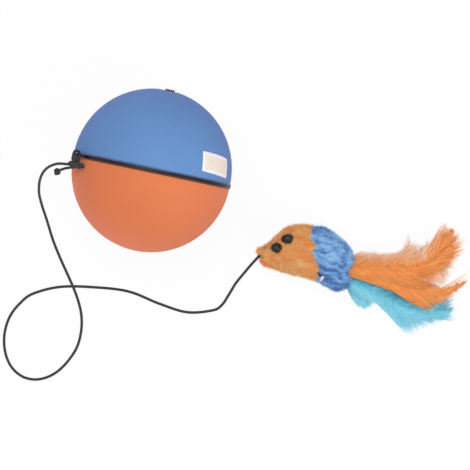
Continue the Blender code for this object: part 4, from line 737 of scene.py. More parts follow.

# %% [markdown]
# ## Braided cord
# A round braid is eight strands, four each way, that cross over and under each other, so its skin is a
# field of small diamonds. The tube below gets those diamonds as real relief, by raising its skin where two
# slanting sets of ridges both stand high. A plain black cord would look like wire, so thin grey painted
# highlights follow the raised strands as well.

# %% Cord material
BRAID_PITCH = 3.4 * MM
STRANDS_EACH_WAY = 4
BRAID_DEPTH = 0.09
BRAID_SHARPNESS = 0.6
THREAD_SIZE = 0.18 * MM


def cord_material():
    """Black braided yarn with a painted grey highlight on its raised strands and fine threads along them."""
    made, tree, shader = new_material("black_cord", Sheen_Weight=0.25, Sheen_Roughness=0.4)
    threads = noise(tree, 1 / THREAD_SIZE, 2.0)
    # Painted highlight: the colour turns grey where the braid stands high.
    lift = maths(tree, "MULTIPLY", stored(tree, "relief"), maths(tree, "ADD", threads, 0.3))
    feed(tree, shader, Base_Color=mixed(tree, lift, seen(12, 12, 14), seen(66, 66, 70)),
         Roughness=ranged(tree, threads, 0.0, 1.0, 0.7, 0.95), Normal=bumped(tree, threads, 0.04 * MM))
    return made


BLACK_CORD = cord_material()


def braided_tube(name, points, radius=CORD_DIAMETER / 2, material=BLACK_CORD, sides=16, closed=False):
    """Tube along points whose skin has a braid's diamonds, with domed ends unless it closes on itself."""
    run = np.concatenate([[0.0], np.cumsum(np.linalg.norm(np.diff(points, axis=0), axis=1))])
    phase = 2 * math.pi * run[:, None] / BRAID_PITCH
    slant = STRANDS_EACH_WAY * circle_angles(sides) / 2
    relief = np.abs(np.cos(slant + phase) * np.cos(slant - phase)) ** BRAID_SHARPNESS
    size = radius * (1 - BRAID_DEPTH + BRAID_DEPTH * relief)
    count = len(points)
    faces = tube_faces(count, sides, closed)
    if not closed:
        ends = np.clip(1 - np.minimum(run, run[-1] - run) / radius, 0, 1)
        size *= np.sqrt(np.clip(1 - ends ** 2, 0.02, 1))[:, None]
        faces += [tuple(reversed(range(sides))), tuple(range((count - 1) * sides, count * sides))]
    skin = tube_rings(points, size, sides).reshape(-1, 3)
    made = add_piece(name, skin, faces, material, "ball")
    marked(made, "relief", relief.reshape(-1))
    return made


main_cord = braided_tube("braided_cord", cord_line)
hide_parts("cord")
print("cord faces", len(main_cord.data.polygons))

# %% [markdown]
# ### Loop and tail
# Above the knot the cord passes through the ring's eye as a loop, and a short tail hangs beside the knot.
# Both follow the same points as their solids. Two closed turns of cord bind the loop between eye and knot,
# and a small bight stands out at the knot. The eye's place comes from the ring: its angle, and its reach
# beyond the band.

# %% Loop and tail
EYE_ANGLE = math.radians(30)
EYE_REACH = 2.0 * MM
LOOP_REACH = 3.45 * MM
LOOP_NEAR = -2.85 * MM
LOOP_FAR = 1.65 * MM
LOOP_RINGS = 110
NECK_SIDES = (-2.3 * MM, -0.95 * MM)
NECK_REACH = 1.8 * MM
NECK_DEPTH = 1.2 * MM
NECK_RINGS = 40
TAIL_RINGS = 40
BIGHT_RINGS = 50
LOOP_SHARES = [(0.0, 0.0), (0.0, 0.4), (0.0, 0.82), (0.15, 1.0), (0.5, 1.08), (0.85, 1.0), (1.0, 0.76),
               (1.0, 0.4), (0.93, 0.0)]
TAIL_ROUTE = [(-40.6, -6.2, 64.4), (-42.3, -7.5, 62.9), (-44.2, -8.2, 62.2), (-45.8, -9.1, 60.9),
              (-47.0, -9.8, 59.6), (-47.9, -10.7, 58.3)]
BIGHT_ROUTE = [(-39.2, -4.6, 66.0), (-37.4, -4.5, 66.9), (-36.0, -4.6, 66.8), (-35.3, -5.3, 66.6),
               (-35.9, -6.0, 66.0), (-38.6, -6.0, 65.2)]


def beside_eye(radius, side):
    """Place near the ring's eye, from a radius and a place along the ball's axis."""
    return (-radius * math.cos(EYE_ANGLE), side, AXIS_HEIGHT + radius * math.sin(EYE_ANGLE))


eye_radius = RING_RADIUS / FACET_SHARE + EYE_REACH
knot_middle = np.array(KNOT_MIDDLE) * MM
loop_points = [beside_eye(eye_radius + LOOP_REACH * out, LOOP_NEAR + (LOOP_FAR - LOOP_NEAR) * along)
               for out, along in LOOP_SHARES]
loop_line, loop_length = smooth_line([knot_middle, *loop_points, knot_middle], LOOP_RINGS)
cord_loop = braided_tube("cord_loop_braid", loop_line)
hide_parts("cord_loop")
tail_line, tail_length = smooth_line(np.array(TAIL_ROUTE) * MM, TAIL_RINGS)
cord_tail = braided_tube("cord_tail_braid", tail_line)
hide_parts("cord_tail")
turn = circle_angles(NECK_RINGS)[:, None]
outward = np.array([-math.cos(EYE_ANGLE), 0.0, math.sin(EYE_ANGLE)])
upward = np.array([math.sin(EYE_ANGLE), 0.0, math.cos(EYE_ANGLE)])
around_neck = NECK_REACH * np.cos(turn) * outward + NECK_DEPTH * np.sin(turn) * upward
for number, side in enumerate(NECK_SIDES):
    neck_line = around_neck + beside_eye(eye_radius + LOOP_REACH / 2, side)
    braided_tube("cord_neck_braid_%d" % number, neck_line, closed=True)
cord_bight = braided_tube("cord_bight_braid", smooth_line(np.array(BIGHT_ROUTE) * MM, BIGHT_RINGS)[0])
print("loop and tail in mm", round(loop_length / MM, 1), round(tail_length / MM, 1))

# %% [markdown]
# ### Knots
# A pulled-tight overhand knot crosses itself three times, and closed up it is the curve called a trefoil.
# Each knot is that curve squeezed into the box of its solid, in the same braid as the cord and a little
# fuller.

# %% Knots
KNOT_RINGS = 150
KNOT_FULLNESS = 0.58
TREFOIL_HEIGHT = 1.6


def knot(name, node_name, tilt):
    """Trefoil of cord that fills the box of its solid."""
    low, high = [np.array(corner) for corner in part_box(node_name)]
    turn = circle_angles(KNOT_RINGS)
    out = 2 + np.cos(3 * turn)
    height = TREFOIL_HEIGHT * np.sin(3 * turn)
    curl = np.stack([out * np.cos(2 * turn), out * np.sin(2 * turn), height], axis=1)
    curl = curl @ np.array(Matrix.Rotation(tilt, 3, "Y"))
    curl -= (curl.max(0) + curl.min(0)) / 2
    curl *= ((high - low) / 2 - CORD_DIAMETER / 2) / curl.max(0)
    made = braided_tube(name, curl + (low + high) / 2, CORD_DIAMETER * KNOT_FULLNESS, closed=True)
    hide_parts(node_name)
    return made


cord_knot = knot("cord_knot_braid", "cord_knot", math.radians(70))
tail_knot = knot("tail_knot_braid", "tail_knot", math.radians(20))
print("knots made")

# %% [markdown]
# ## Plush
# The mouse is two stuffed bags of short-pile plush. The solid gives the bag, which is remeshed and eased
# into a soft lumpy form. Its pile is real: thousands of short flat strands lie backwards over the bag, and
# their colour drifts in streaks as brushed plush does. Modelled strands keep the soft outline from every
# side, which a bump can't do.

# %% Plush material
def plush(name, dark, middle, light, glow, sheen, length=9.0 * MM, waviness=0.5):
    """Brushed pile whose colour runs in streaks."""
    made, tree, shader = new_material(name, Roughness=0.9, Sheen_Weight=sheen, Sheen_Roughness=0.5,
                                      Sheen_Tint=glow, Specular_IOR_Level=0.2)
    broad = placed(tree, STREAKS, Width=2.2 * MM, Length=length, Waviness=waviness)[0]
    fine = placed(tree, STREAKS, Width=0.7 * MM, Length=length / 2, Waviness=waviness)[0]
    tone = total(tree, (broad, 0.5), (fine, 0.25), (stored(tree, "strand"), 0.25))
    lower = mixed(tree, ranged(tree, tone, 0.2, 0.5), dark, middle)
    feed(tree, shader, Base_Color=mixed(tree, ranged(tree, tone, 0.5, 0.85), lower, light))
    return made


ORANGE_PLUSH = plush("orange_plush", seen(255, 156, 72), seen(255, 200, 116), seen(255, 226, 160),
                     (1.0, 0.8, 0.55, 1.0), sheen=1.0)
BLUE_PLUSH = plush("blue_plush", seen(80, 134, 200), seen(148, 210, 252), seen(208, 244, 255),
                   (0.75, 0.9, 1.0, 1.0), sheen=0.4, length=7 * MM, waviness=0.6)
print("plush made")

# %% [markdown]
# ### Bag and pile
# Head and body are sewn together, so one voxel remesh makes a single bag of both solids, with an even skin.
# A few smoothing passes ease its facets. Strands start at points spread evenly by area. Each leans along
# the brushing direction, lifts a little off the skin, and bends back down. No strand goes below the floor.

# %% Bag and strand helpers
PILE_SEED = 11
BRUSHED = np.array([math.cos(SHOT_TURN), math.sin(SHOT_TURN), 0.0])
BAG_VOXEL = 0.6 * MM
BAG_OVERLAP = 0.6 * MM
BAG_EASING = 8
LEAN_SPREAD = 0.6
TILT_SPREAD = 0.4
STRAND_CORNERS = 5


def soft_bag():
    """Evenly meshed and smoothed bag of the mouse's two solids, each also moved a little into the other."""
    joined = bmesh.new()
    for name, shift in (("mouse_head", 0.0), ("mouse_head", 1.0), ("mouse_body", 0.0), ("mouse_body", -1.0)):
        part = welded_copy(name)
        bmesh.ops.translate(part, verts=part.verts, vec=Vector(BRUSHED * BAG_OVERLAP * shift))
        loose = bpy.data.meshes.new("loose")
        part.to_mesh(loose)
        part.free()
        joined.from_mesh(loose)
        bpy.data.meshes.remove(loose)
    source = bpy.data.meshes.new("mouse_source")
    joined.to_mesh(source)
    joined.free()
    holder = linked("mouse_source", source)
    remesh = holder.modifiers.new("remesh", "REMESH")
    remesh.mode = "VOXEL"
    remesh.voxel_size = BAG_VOXEL
    smooth = holder.modifiers.new("smooth", "SMOOTH")
    smooth.iterations = BAG_EASING
    smooth.factor = 0.6
    bag = bpy.data.meshes.new_from_object(holder.evaluated_get(bpy.context.evaluated_depsgraph_get()))
    bpy.data.objects.remove(holder, do_unlink=True)
    return bag


def scattered(points, normals, triangles, count, rng):
    """Places spread evenly over a skin, with their normals."""
    a, b, c = (points[triangles[:, corner]] for corner in range(3))
    area = np.linalg.norm(np.cross(b - a, c - a), axis=1)
    chosen = rng.choice(len(triangles), size=count, p=area / area.sum())
    u, v = rng.random(count), rng.random(count)
    flip = u + v > 1
    u[flip], v[flip] = 1 - u[flip], 1 - v[flip]
    weights = np.stack([1 - u - v, u, v], axis=1)[..., None]
    spots = (points[triangles[chosen]] * weights).sum(1)
    facing = unit((normals[triangles[chosen]] * weights).sum(1))
    return spots, facing


def strands(spots, facing, flow, length, width, lift, rng):
    """Flat strands of a quad and a pointed tip that lean along the flow."""
    count = len(spots)
    flow = flow - facing * (flow * facing).sum(1, keepdims=True)
    lean = unit(unit(flow) + LEAN_SPREAD * rng.normal(size=(count, 3)))
    out = unit(lean * (1 - lift[:, None]) + facing * lift[:, None])
    middle = spots + out * length[:, None] * 0.55
    tip = middle + unit(out + 0.5 * lean - 0.25 * facing) * length[:, None] * 0.5
    tilt = unit(facing + TILT_SPREAD * rng.normal(size=(count, 3)))
    across = unit(np.cross(out, tilt)) * width[:, None] / 2
    slim = across * 0.8
    corners = np.stack([spots - across, spots + across, middle + slim, middle - slim, tip], axis=1)
    first = np.arange(count)[:, None] * STRAND_CORNERS
    return corners.reshape(-1, 3), first + np.array([0, 1, 2, 3]), first + np.array([3, 2, 4])


mouse_bag = soft_bag()
print("bag faces", len(mouse_bag.polygons), "brushed along", np.round(BRUSHED, 2))

# %% [markdown]
# ### Lumps, crease and seam
# Stuffing makes the bag lumpy, and one deep crease crosses the body. Small steps out and in at places along
# the mouse ease its outline. A notch is pressed into the body's end, and the snout is drawn out a little
# round a mouth, which is pressed in for the cord. The seam between orange and blue is ragged, because the
# pile of one fabric lies over the other. A line of points gives that edge, and every face and strand
# belongs to the head or to the body by the side of the line that it is on.

# %% Lumps, crease and seam
FLOOR_CLEAR = 0.12 * MM
SEAM = [(-46.0, 97.5), (-39.3, 96.7), (-33.2, 96.8), (-28.9, 94.1), (-25.7, 91.2), (-21.7, 92.4),
        (-18.0, 89.0), (-11.3, 88.4), (-8.0, 88.0)]
SEAM_SHIFT = 0.4 * MM
CREASE_START = np.array([97.2, -34.4]) * MM
CREASE_END = np.array([114.3, -31.4]) * MM
CREASE_DEPTH = 1.1 * MM
CREASE_WIDTH = 1.5 * MM
LUMP_HEIGHT = 0.4 * MM
PILE_DEPTH = 0.8 * MM
NOSE = np.array([62.5, -29.9, 10.5]) * MM
NOSE_THINNING = 0.7 * MM
NOSE_WIDTH = 6.5 * MM
UPWARD = np.array([-math.sin(SHOT_TURN), math.cos(SHOT_TURN), 0.0])
EASED = np.array([(55.0, 0.0, -0.2), (58.5, -0.3, 0.6), (62.5, -0.8, 1.3), (67.5, -1.3, 1.3),
                  (72.5, -1.1, 1.4), (80.0, -0.9, 1.4), (86.0, -0.6, 1.0), (90.0, 0.4, -0.3),
                  (94.0, 0.9, 1.3), (99.5, 0.9, 2.4), (104.0, 0.8, 1.3), (108.0, 0.3, 1.0)]) * MM
SNOUT = 64.0 * MM
SNOUT_DEPTH = 0.4 * MM
SNOUT_LENGTH = 6 * MM
MOUTH = -45.6 * MM
MOUTH_DEPTH = 1.6 * MM
MOUTH_WIDTH = 1.3 * MM
NOTCH = -54.8 * MM
NOTCH_START = 98 * MM
NOTCH_LENGTH = 8 * MM
NOTCH_DEPTH = 2.8 * MM
NOTCH_WIDTH = 3.2 * MM


def bell(distance, width):
    """One at no distance, fading softly to zero."""
    return np.exp(-(distance / width) ** 2)


def ramp(value, length):
    """From zero to one over a length, and level before and after it."""
    return np.clip(value / length, 0, 1)


def creased(points, normals):
    """How far lumps, crease, pile and a thinner nose move each point along its normal."""
    x, y, z = points.T / MM
    wave = np.sin(x * 0.55 + 1.7 * np.sin(y * 0.4)) * np.sin(y * 0.62 + 0.8) * np.sin(z * 0.5 + 1.1)
    run = CREASE_END - CREASE_START
    share = ((points[:, :2] - CREASE_START) @ run) / run.dot(run)
    nearest = CREASE_START + np.clip(share, 0, 1)[:, None] * run
    press = CREASE_DEPTH * bell(np.linalg.norm(points[:, :2] - nearest, axis=1), CREASE_WIDTH)
    thin = NOSE_THINNING * bell(np.linalg.norm(points - NOSE, axis=1), NOSE_WIDTH)
    free = ramp(points[:, 2] - 1.0 * MM, 3.0 * MM)
    return LUMP_HEIGHT * wave * free - press * np.clip(normals[:, 2] * 2, 0, 1) - PILE_DEPTH - thin


def outline_ease(right, up):
    """How far each point moves up the picture, blended between the mouse's lowest and highest edge."""
    bins = np.round(right / MM).astype(int)
    ends = {cell: (up[bins == cell].min(), up[bins == cell].max()) for cell in np.unique(bins)}
    low, high = np.array([ends[cell] for cell in bins]).T
    share = np.clip((up - low) / np.maximum(high - low, MM), 0, 1)
    far, near = (np.interp(right, EASED[:, 0], EASED[:, column]) for column in (1, 2))
    return far * share + near * (1 - share)


def shaped_bag(bag):
    """Bag's points, normals, faces and triangles, with lumps and the crease pressed in."""
    bag.calc_loop_triangles()
    points = np.array([vert.co for vert in bag.vertices])
    normals = np.array([vert.normal for vert in bag.vertices])
    faces = np.array([tuple(face.vertices) for face in bag.polygons if len(face.vertices) == 4])
    triangles = np.array([tri.vertices for tri in bag.loop_triangles])
    points = points + normals * creased(points, normals)[:, None]
    right, up = points @ BRUSHED, points @ UPWARD
    points = points + outline_ease(right, up)[:, None] * UPWARD
    snout = ramp(SNOUT - right, SNOUT_LENGTH)
    pull = NOTCH_DEPTH * bell(up - NOTCH, NOTCH_WIDTH) * ramp(right - NOTCH_START, NOTCH_LENGTH)
    pull += (SNOUT_DEPTH - MOUTH_DEPTH * bell(up - MOUTH, MOUTH_WIDTH)) * snout
    points = points - pull[:, None] * BRUSHED
    points[:, 2] = np.maximum(points[:, 2], FLOOR_CLEAR)
    return points, normals, faces, triangles


def seam_side(places, blur, rng):
    """True where a place is on the head's side of the ragged seam."""
    up, right = np.array(SEAM).T * MM
    edge = np.interp(places[:, 1], up, right) - SEAM_SHIFT
    return places[:, 0] < edge + blur * rng.normal(size=len(places))


bag_points, bag_normals, bag_faces, bag_triangles = shaped_bag(mouse_bag)
print("bag points", len(bag_points))

# %% [markdown]
# ### Pile
# Most strands lie close to the skin. One in six stands higher and is longer, which gives the soft pale
# fringe that the mouse has against a plain background. The pile has painted light along the head's near
# edge and painted shade on the body away from the middle of its back. Strands that nobody could see, on the
# side that the mouse lies on, are left out.

# %% Pile on head and body
STRANDS = 64000
TALL_SHARE = 0.17
STRAND_WIDTH = 0.17 * MM
SEAM_BLUR = 0.35 * MM
BAG_TONE = 0.4
HEAD_PAINTED_LIGHT_EDGE = -46.5 * MM
PAINTED_LIGHT_REACH = 5 * MM
BACK_MIDDLE = -42.0 * MM
BACK_WIDTH = 4 * MM
PAINTED_SHADE_REACH = 8 * MM


def mouse_pile():
    """Corners, faces, tone and side of all strands."""
    rng = np.random.default_rng(PILE_SEED)
    spots, facing = scattered(bag_points, bag_normals, bag_triangles, STRANDS, rng)
    keep = (spots[:, 2] > 0.8 * MM) | (facing[:, 2] > -0.3)
    spots, facing = spots[keep], facing[keep]
    count = len(spots)
    on_head = seam_side(spots, SEAM_BLUR, rng)
    swirl = np.sin(spots[:, [1]] / MM * 0.5 + spots[:, [0]] / MM * 0.25)
    flow = BRUSHED + np.array([0.0, 0.4, 0.0]) * swirl
    tall = rng.random(count) < TALL_SHARE
    length = MM * (1.3 + 0.9 * rng.random(count)) * np.where(tall, 1.35, 1.0)
    lift = np.where(tall, 0.4 + 0.3 * rng.random(count), 0.14 + 0.22 * rng.random(count))
    width = STRAND_WIDTH * (0.7 + 0.6 * rng.random(count))
    corners, quads, tips = strands(spots, facing, flow, length, width, lift, rng)
    corners[:, 2] = np.maximum(corners[:, 2], FLOOR_CLEAR)
    tone = 0.25 + 0.5 * rng.random(count) + 0.35 * tall
    up = spots @ UPWARD
    # Painted light on the head's near edge, and painted shade on the body away from its back's middle.
    tone += 0.4 * ramp(HEAD_PAINTED_LIGHT_EDGE - up, PAINTED_LIGHT_REACH) * on_head
    tone -= 0.6 * ramp(np.abs(up - BACK_MIDDLE) - BACK_WIDTH, PAINTED_SHADE_REACH) * ~on_head
    return corners, quads, tips, np.clip(tone, 0, 1), on_head


def plush_piece(name, is_head, material):
    """Part of the bag and its pile on one side of the seam."""
    rng = np.random.default_rng(PILE_SEED)
    face_side = seam_side(bag_points[bag_faces].mean(1), 0.0, rng) == is_head
    wanted = pile_head == is_head
    base = len(bag_points)
    blocks = (bag_faces[face_side], pile_quads[wanted] + base, pile_tips[wanted] + base)
    points = np.vstack([bag_points, pile_corners])
    tones = np.concatenate([np.full(base, BAG_TONE), np.repeat(pile_tones, STRAND_CORNERS)])
    used = np.unique(np.concatenate([block.ravel() for block in blocks]))
    place = np.zeros(len(points), int)
    place[used] = np.arange(len(used))
    faces = [face for block in blocks for face in place[block]]
    made = add_piece(name + "_plush", points[used], faces, material, "ball")
    marked(made, "strand", tones[used])
    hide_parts(name)
    print(name, "faces", len(made.data.polygons))


pile_corners, pile_quads, pile_tips, pile_tones, pile_head = mouse_pile()
plush_piece("mouse_head", True, ORANGE_PLUSH)
plush_piece("mouse_body", False, BLUE_PLUSH)

# %% [markdown]
# ### Eyes
# Each eye is a glossy bead with a narrow lip where it meets the pile. A bead is turned on a lathe, so its
# outline is swept round an axis that points out of the head. It is then stretched into an oval along the
# head and moved a little to where it is sewn. The gloss comes from the shader, not from a painted
# highlight.

# %% Eyes
EYE_PROUD = 0.45 * MM
BEAD_SIDES = 36
BEAD_STEPS = 16
BEAD_TOP = 0.94
BEAD_LIP = [(1.07, -0.12), (1.1, -0.05), (1.07, 0.02)]


def bead_material():
    """Polished black bead with a faint green cast."""
    made, tree, shader = new_material("eye_bead", IOR=1.45, Specular_IOR_Level=0.3)
    cloud = noise(tree, 1 / (1.6 * MM), 2.0)
    feed(tree, shader, Base_Color=mixed(tree, cloud, seen(10, 10, 8), seen(46, 52, 44)),
         Roughness=ranged(tree, cloud, 0.0, 1.0, 0.24, 0.4))
    return made


def bead_eye(node_name, outward, spread, shift):
    """Turned bead with a lip, where its solid lies, stretched into an oval."""
    low, high = [np.array(corner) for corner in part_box(node_name)]
    axis = unit(np.array(outward))
    centre, radius = (low + high) / 2 + axis * EYE_PROUD, (high[0] - low[0]) / 2
    outline = [(math.cos(angle), math.sin(angle) * (BEAD_TOP if angle > 0 else 1.0))
               for angle in np.radians(np.linspace(-60, 90, BEAD_STEPS + 1))]
    profile = sorted(outline + BEAD_LIP, key=lambda spot: spot[1])
    side = unit(np.cross(axis, (0.0, 1.0, 0.2)))
    turn = circle_angles(BEAD_SIDES)[:, None]
    circle = np.cos(turn) * side + np.sin(turn) * np.cross(axis, side)
    points = [centre + radius * (reach * circle + height * axis) for reach, height in profile[:-1]]
    points = np.vstack([*points, [centre + radius * profile[end][1] * axis for end in (-1, 0)]])
    for direction, grow, move in zip((BRUSHED, UPWARD), spread, shift):
        points += np.outer((points - centre) @ direction * (grow - 1) + move * MM, direction)
    rings = len(profile) - 1
    top = rings * BEAD_SIDES
    pairs = [(step, (step + 1) % BEAD_SIDES) for step in range(BEAD_SIDES)]
    faces = tube_faces(rings, BEAD_SIDES)
    faces += [(top - BEAD_SIDES + step, top - BEAD_SIDES + ahead, top) for step, ahead in pairs]
    faces += [(ahead, step, top + 1) for step, ahead in pairs]
    made = add_piece(node_name + "_bead", points, faces, EYE_BEAD, "ball")
    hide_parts(node_name)


EYE_BEAD = bead_material()
bead_eye("mouse_eye_near", (-0.35, 0.0, 1.0), (1.1, 0.98), (-0.45, 0.4))
bead_eye("mouse_eye_far", (-0.3, 0.45, 1.0), (1.38, 0.98), (-0.05, 0.35))

# %% [markdown]
# ### Stitches
# One black stitch marks the mouse's nose, and where the seam ends below, the thread is knotted off with a
# pale bobbin thread beside it. Each is a short tube along a small arc that dips into the pile at both ends.

# %% Stitches
THREAD_LIFT = 0.9 * MM
THREAD_ARCH = 1.6
MOUSE_TOP = 8 * MM
BAG_SKIN = BVHTree.FromPolygons([Vector(point) for point in bag_points], [tuple(face) for face in bag_faces])


def thread_material(name, dark, light):
    """Twisted sewing thread."""
    made, tree, shader = new_material(name, Specular_IOR_Level=0.3)
    twist = placed(tree, STREAKS, Width=0.12 * MM, Length=0.5 * MM, Waviness=0.2)[0]
    feed(tree, shader, Base_Color=mixed(tree, twist, dark, light),
         Roughness=ranged(tree, twist, 0.0, 1.0, 0.55, 0.8))
    return made


def stitch(name, start, end, radius, material):
    """Arc of thread over the pile between two places on the picture's floor plan."""
    points = []
    for share in np.linspace(0.0, 1.0, 9):
        x, y = np.array(start) * MM * (1 - share) + np.array(end) * MM * share
        hit = BAG_SKIN.ray_cast(Vector((x, y, 0.1)), Vector((0.0, 0.0, -1.0)))[0]
        hit = hit or BAG_SKIN.find_nearest(Vector((x, y, MOUSE_TOP)))[0]
        points.append((x, y, hit.z + THREAD_LIFT + radius * THREAD_ARCH * math.sin(math.pi * share)))
    made = braided_tube(name, smooth_line(points, 24)[0], radius, material, sides=10)


BLACK_THREAD = thread_material("black_thread", seen(12, 12, 14), seen(48, 48, 50))
WHITE_THREAD = thread_material("white_thread", seen(226, 232, 236), seen(252, 254, 255))
stitch("nose_stitch", (66.2, -27.7), (67.0, -27.5), 0.3 * MM, BLACK_THREAD)
stitch("seam_stitch_upper", (96.5, -34.6), (98.2, -36.2), 0.42 * MM, BLACK_THREAD)
stitch("seam_stitch_lower", (98.0, -38.4), (98.8, -38.3), 0.25 * MM, BLACK_THREAD)
stitch("seam_thread", (98.6, -38.7), (99.9, -36.0), 0.8 * MM, WHITE_THREAD)
print("stitches sewn")

# %% [markdown]
# ## Feathers
# A feather is a quill with two rows of barbs, and fluffy barbs near its root. Each barb here is a thin
# ribbon that leaves the quill at a slant, bends towards the tip and splits into hairs at its end. A few
# barbs are shorter or lifted, which breaks the edge into the tufts that soft feathers have. The bunches
# follow their solids' middle lines.

# %% Feather material
def down(name, painted_shade, dark, middle, pale):
    """Soft barbs, paler at their ends, with painted shade where other barbs lie over them."""
    made, tree, shader = new_material(name, Roughness=0.75, Sheen_Weight=0.4, Sheen_Roughness=0.4,
                                      Specular_IOR_Level=0.25)
    streak = placed(tree, STREAKS, Width=1.6 * MM, Length=14.0 * MM, Waviness=0.8)[0]
    out = stored(tree, "outward")
    tone = total(tree, (streak, 0.5), (stored(tree, "strand"), 0.5))
    colour = mixed(tree, total(tree, (tone, 0.75), (out, 0.5)), dark, middle)
    colour = mixed(tree, ranged(tree, out, 0.42, 0.88, 0.0, 0.95), colour, pale)
    # Painted shade where the stored value is below zero.
    shade = ranged(tree, out, -0.55, -0.05, 1.0, 0.0)
    feed(tree, shader, Base_Color=mixed(tree, shade, colour, painted_shade))
    return made


ORANGE_FEATHER = down("orange_feather", seen(220, 100, 40), seen(246, 142, 62), seen(252, 190, 114),
                      seen(255, 228, 200))
TURQUOISE_FEATHER = down("turquoise_feather", seen(66, 148, 172), seen(112, 212, 230), seen(160, 236, 248),
                         seen(210, 246, 250))
print("feather finishes made")

# %% [markdown]
# ### Barbs between a quill and an edge
# The function below works on whole arrays at once. A barb starts at the quill, or a little beside it, and
# ends somewhat further on at one of the feather's two edges, so the edges give each bunch its outline. Each
# edge also has a paleness and a fullness at the quill's root, past its middle and near its tip; a paleness
# below zero is painted shade. Some barbs fall short and some run on as fine hairs, and the wisps add
# single hairs at chosen places. The shading is turned part of the way upwards, which joins the barbs into
# soft down.

# %% Feather helper
BARB_POINTS = 7
BARB_WIDTH = 0.34 * MM
BARB_SHAPE = np.array([0.6, 1.0, 1.0, 0.85, 0.6, 0.36, 0.08])
BARB_LAG = 0.16
BARB_FLUFF = 1.2 * MM
ROOT_SCATTER = 0.8 * MM
QUILL_PLACES = (0.0, 0.6, 0.85)
QUILL_RINGS = 80
QUILL_SIDES = 8
QUILL_RADIUS = 0.36 * MM
QUILL_TAPER = 0.85
HAIR_SHARE = 0.3
WISP_TONE = 1.05
EVEN = (0.95, 0.95, 0.95)


def at_share(table, shares):
    """Places on an evenly spaced line at shares of its length."""
    even = np.linspace(0.0, 1.0, len(table))
    return np.stack([np.interp(shares, even, table[:, axis]) for axis in range(3)], axis=1)


def barbs(start, control, end, rng):
    """Ribbons along curves through three points each: their corners and faces."""
    share = np.linspace(0.0, 1.0, BARB_POINTS)[None, :, None]
    rows = (start[:, None] * (1 - share) ** 2 + 2 * control[:, None] * share * (1 - share)
            + end[:, None] * share ** 2)
    tilt = np.hstack([0.45 * rng.normal(size=(len(start), 2)), np.ones((len(start), 1))])
    flat = unit(np.cross(np.gradient(rows, axis=1), tilt[:, None]))
    half = flat * BARB_SHAPE[None, :, None] * BARB_WIDTH / 2 * (0.5 + 0.9 * rng.random((len(start), 1, 1)))
    corners = np.stack([rows - half, rows + half], axis=2).reshape(-1, 3)
    first = (np.arange(len(start)) * BARB_POINTS * 2)[:, None]
    faces = np.vstack([first + np.array([0, 1, 3, 2]) + step * 2 for step in range(BARB_POINTS - 1)])
    return corners, faces


def soft_shaded(made, towards, share):
    """Turn a piece's shading, not its shape, part of the way towards one direction."""
    own = np.array([vert.normal for vert in made.data.vertices])
    turned = unit(own * (1 - share) + np.array(towards) * share)
    made.data.normals_split_custom_set_from_vertices(turned.tolist())


def feather(name, node_name, spine, edges, wisps, count, material, seed, thin=1.1):
    """Quill with barbs out to two edges, and single hairs out to the wisps' ends."""
    rng = np.random.default_rng(seed)
    line, length = smooth_line(np.array(spine) * MM, QUILL_RINGS)
    heading = unit(np.gradient(line, axis=0))
    corners, faces, outs, tones = [], [], [], []

    def add(start, control, end, pale):
        made, cells = barbs(start, control, end, rng)
        faces.append(cells + sum(len(block) for block in corners))
        corners.append(made)
        share = np.tile(np.repeat(np.linspace(0, 1, BARB_POINTS), 2), len(start))
        outs.append(share * np.repeat(pale, BARB_POINTS * 2))
        tones.append(np.repeat(rng.random(len(start)), BARB_POINTS * 2))

    for edge, paleness_and_painted_shade, fullness in edges:
        border, _ = smooth_line([(x * MM, y * MM, 0.0) for x, y in edge], QUILL_RINGS)
        where = 0.98 * (1 - rng.random(count) ** (1 / thin))
        start = at_share(line, where)
        end = at_share(border, np.clip(where + BARB_LAG * (0.4 + rng.random(count)), 0, 1))
        hair = rng.random(count) < HAIR_SHARE
        full = np.interp(where, QUILL_PLACES, fullness)
        reach = np.where(hair, 0.86 + 0.24 * rng.random(count), full * (0.47 + 0.53 * rng.random(count)))
        end[:, 2] = start[:, 2] * 0.5 + rng.random(count) * 1.2 * MM
        end = start + (end - start) * reach[:, None] + 0.3 * MM * rng.normal(size=(count, 3))
        gap = np.linalg.norm(end - start, axis=1, keepdims=True)
        control = (start + end) / 2 - at_share(heading, where) * gap * 0.2
        control[:, 2] += BARB_FLUFF * rng.normal(size=count) + 0.1 * gap[:, 0]
        start = start + ROOT_SCATTER * rng.normal(size=(count, 3))
        pale = np.interp(where, QUILL_PLACES, paleness_and_painted_shade)
        add(start, control, end, pale * (0.6 + 0.6 * rng.random(count)))
    for x, y, where, hairs, spread in wisps:
        start = at_share(line, np.full(hairs, where) + 0.06 * rng.normal(size=hairs))
        scatter = spread * MM * np.array([1.0, 1.0, 0.4]) * rng.normal(size=(hairs, 3))
        end = np.array([x, y, 1.0]) * MM + scatter
        end = start + (end - start) * (0.75 + 0.3 * rng.random((hairs, 1)))
        gap = np.linalg.norm(end - start, axis=1, keepdims=True)
        control = (start + end) / 2 + at_share(heading, np.full(hairs, where)) * gap * 0.12
        add(start, control, end, np.full(hairs, WISP_TONE))
    thick = QUILL_RADIUS * (1 - QUILL_TAPER * np.linspace(0, 1, QUILL_RINGS))[:, None]
    faces.append(np.array(tube_faces(QUILL_RINGS, QUILL_SIDES)) + sum(len(block) for block in corners))
    corners.append(tube_rings(line, thick, QUILL_SIDES).reshape(-1, 3))
    outs.append(np.full(len(corners[-1]), 0.1))
    tones.append(np.full(len(corners[-1]), 0.5))
    points = np.vstack(corners)
    points[:, 2] = np.maximum(points[:, 2], FLOOR_CLEAR)
    made = add_piece(name, points, np.vstack(faces), material, "ball")
    marked(made, "outward", np.concatenate(outs))
    marked(made, "strand", np.concatenate(tones))
    soft_shaded(made, (0.0, 0.0, 1.0), 0.6)
    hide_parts(node_name)
    print(name, "faces", len(made.data.polygons), "length in mm", round(length / MM, 1))


print("feather helper ready")
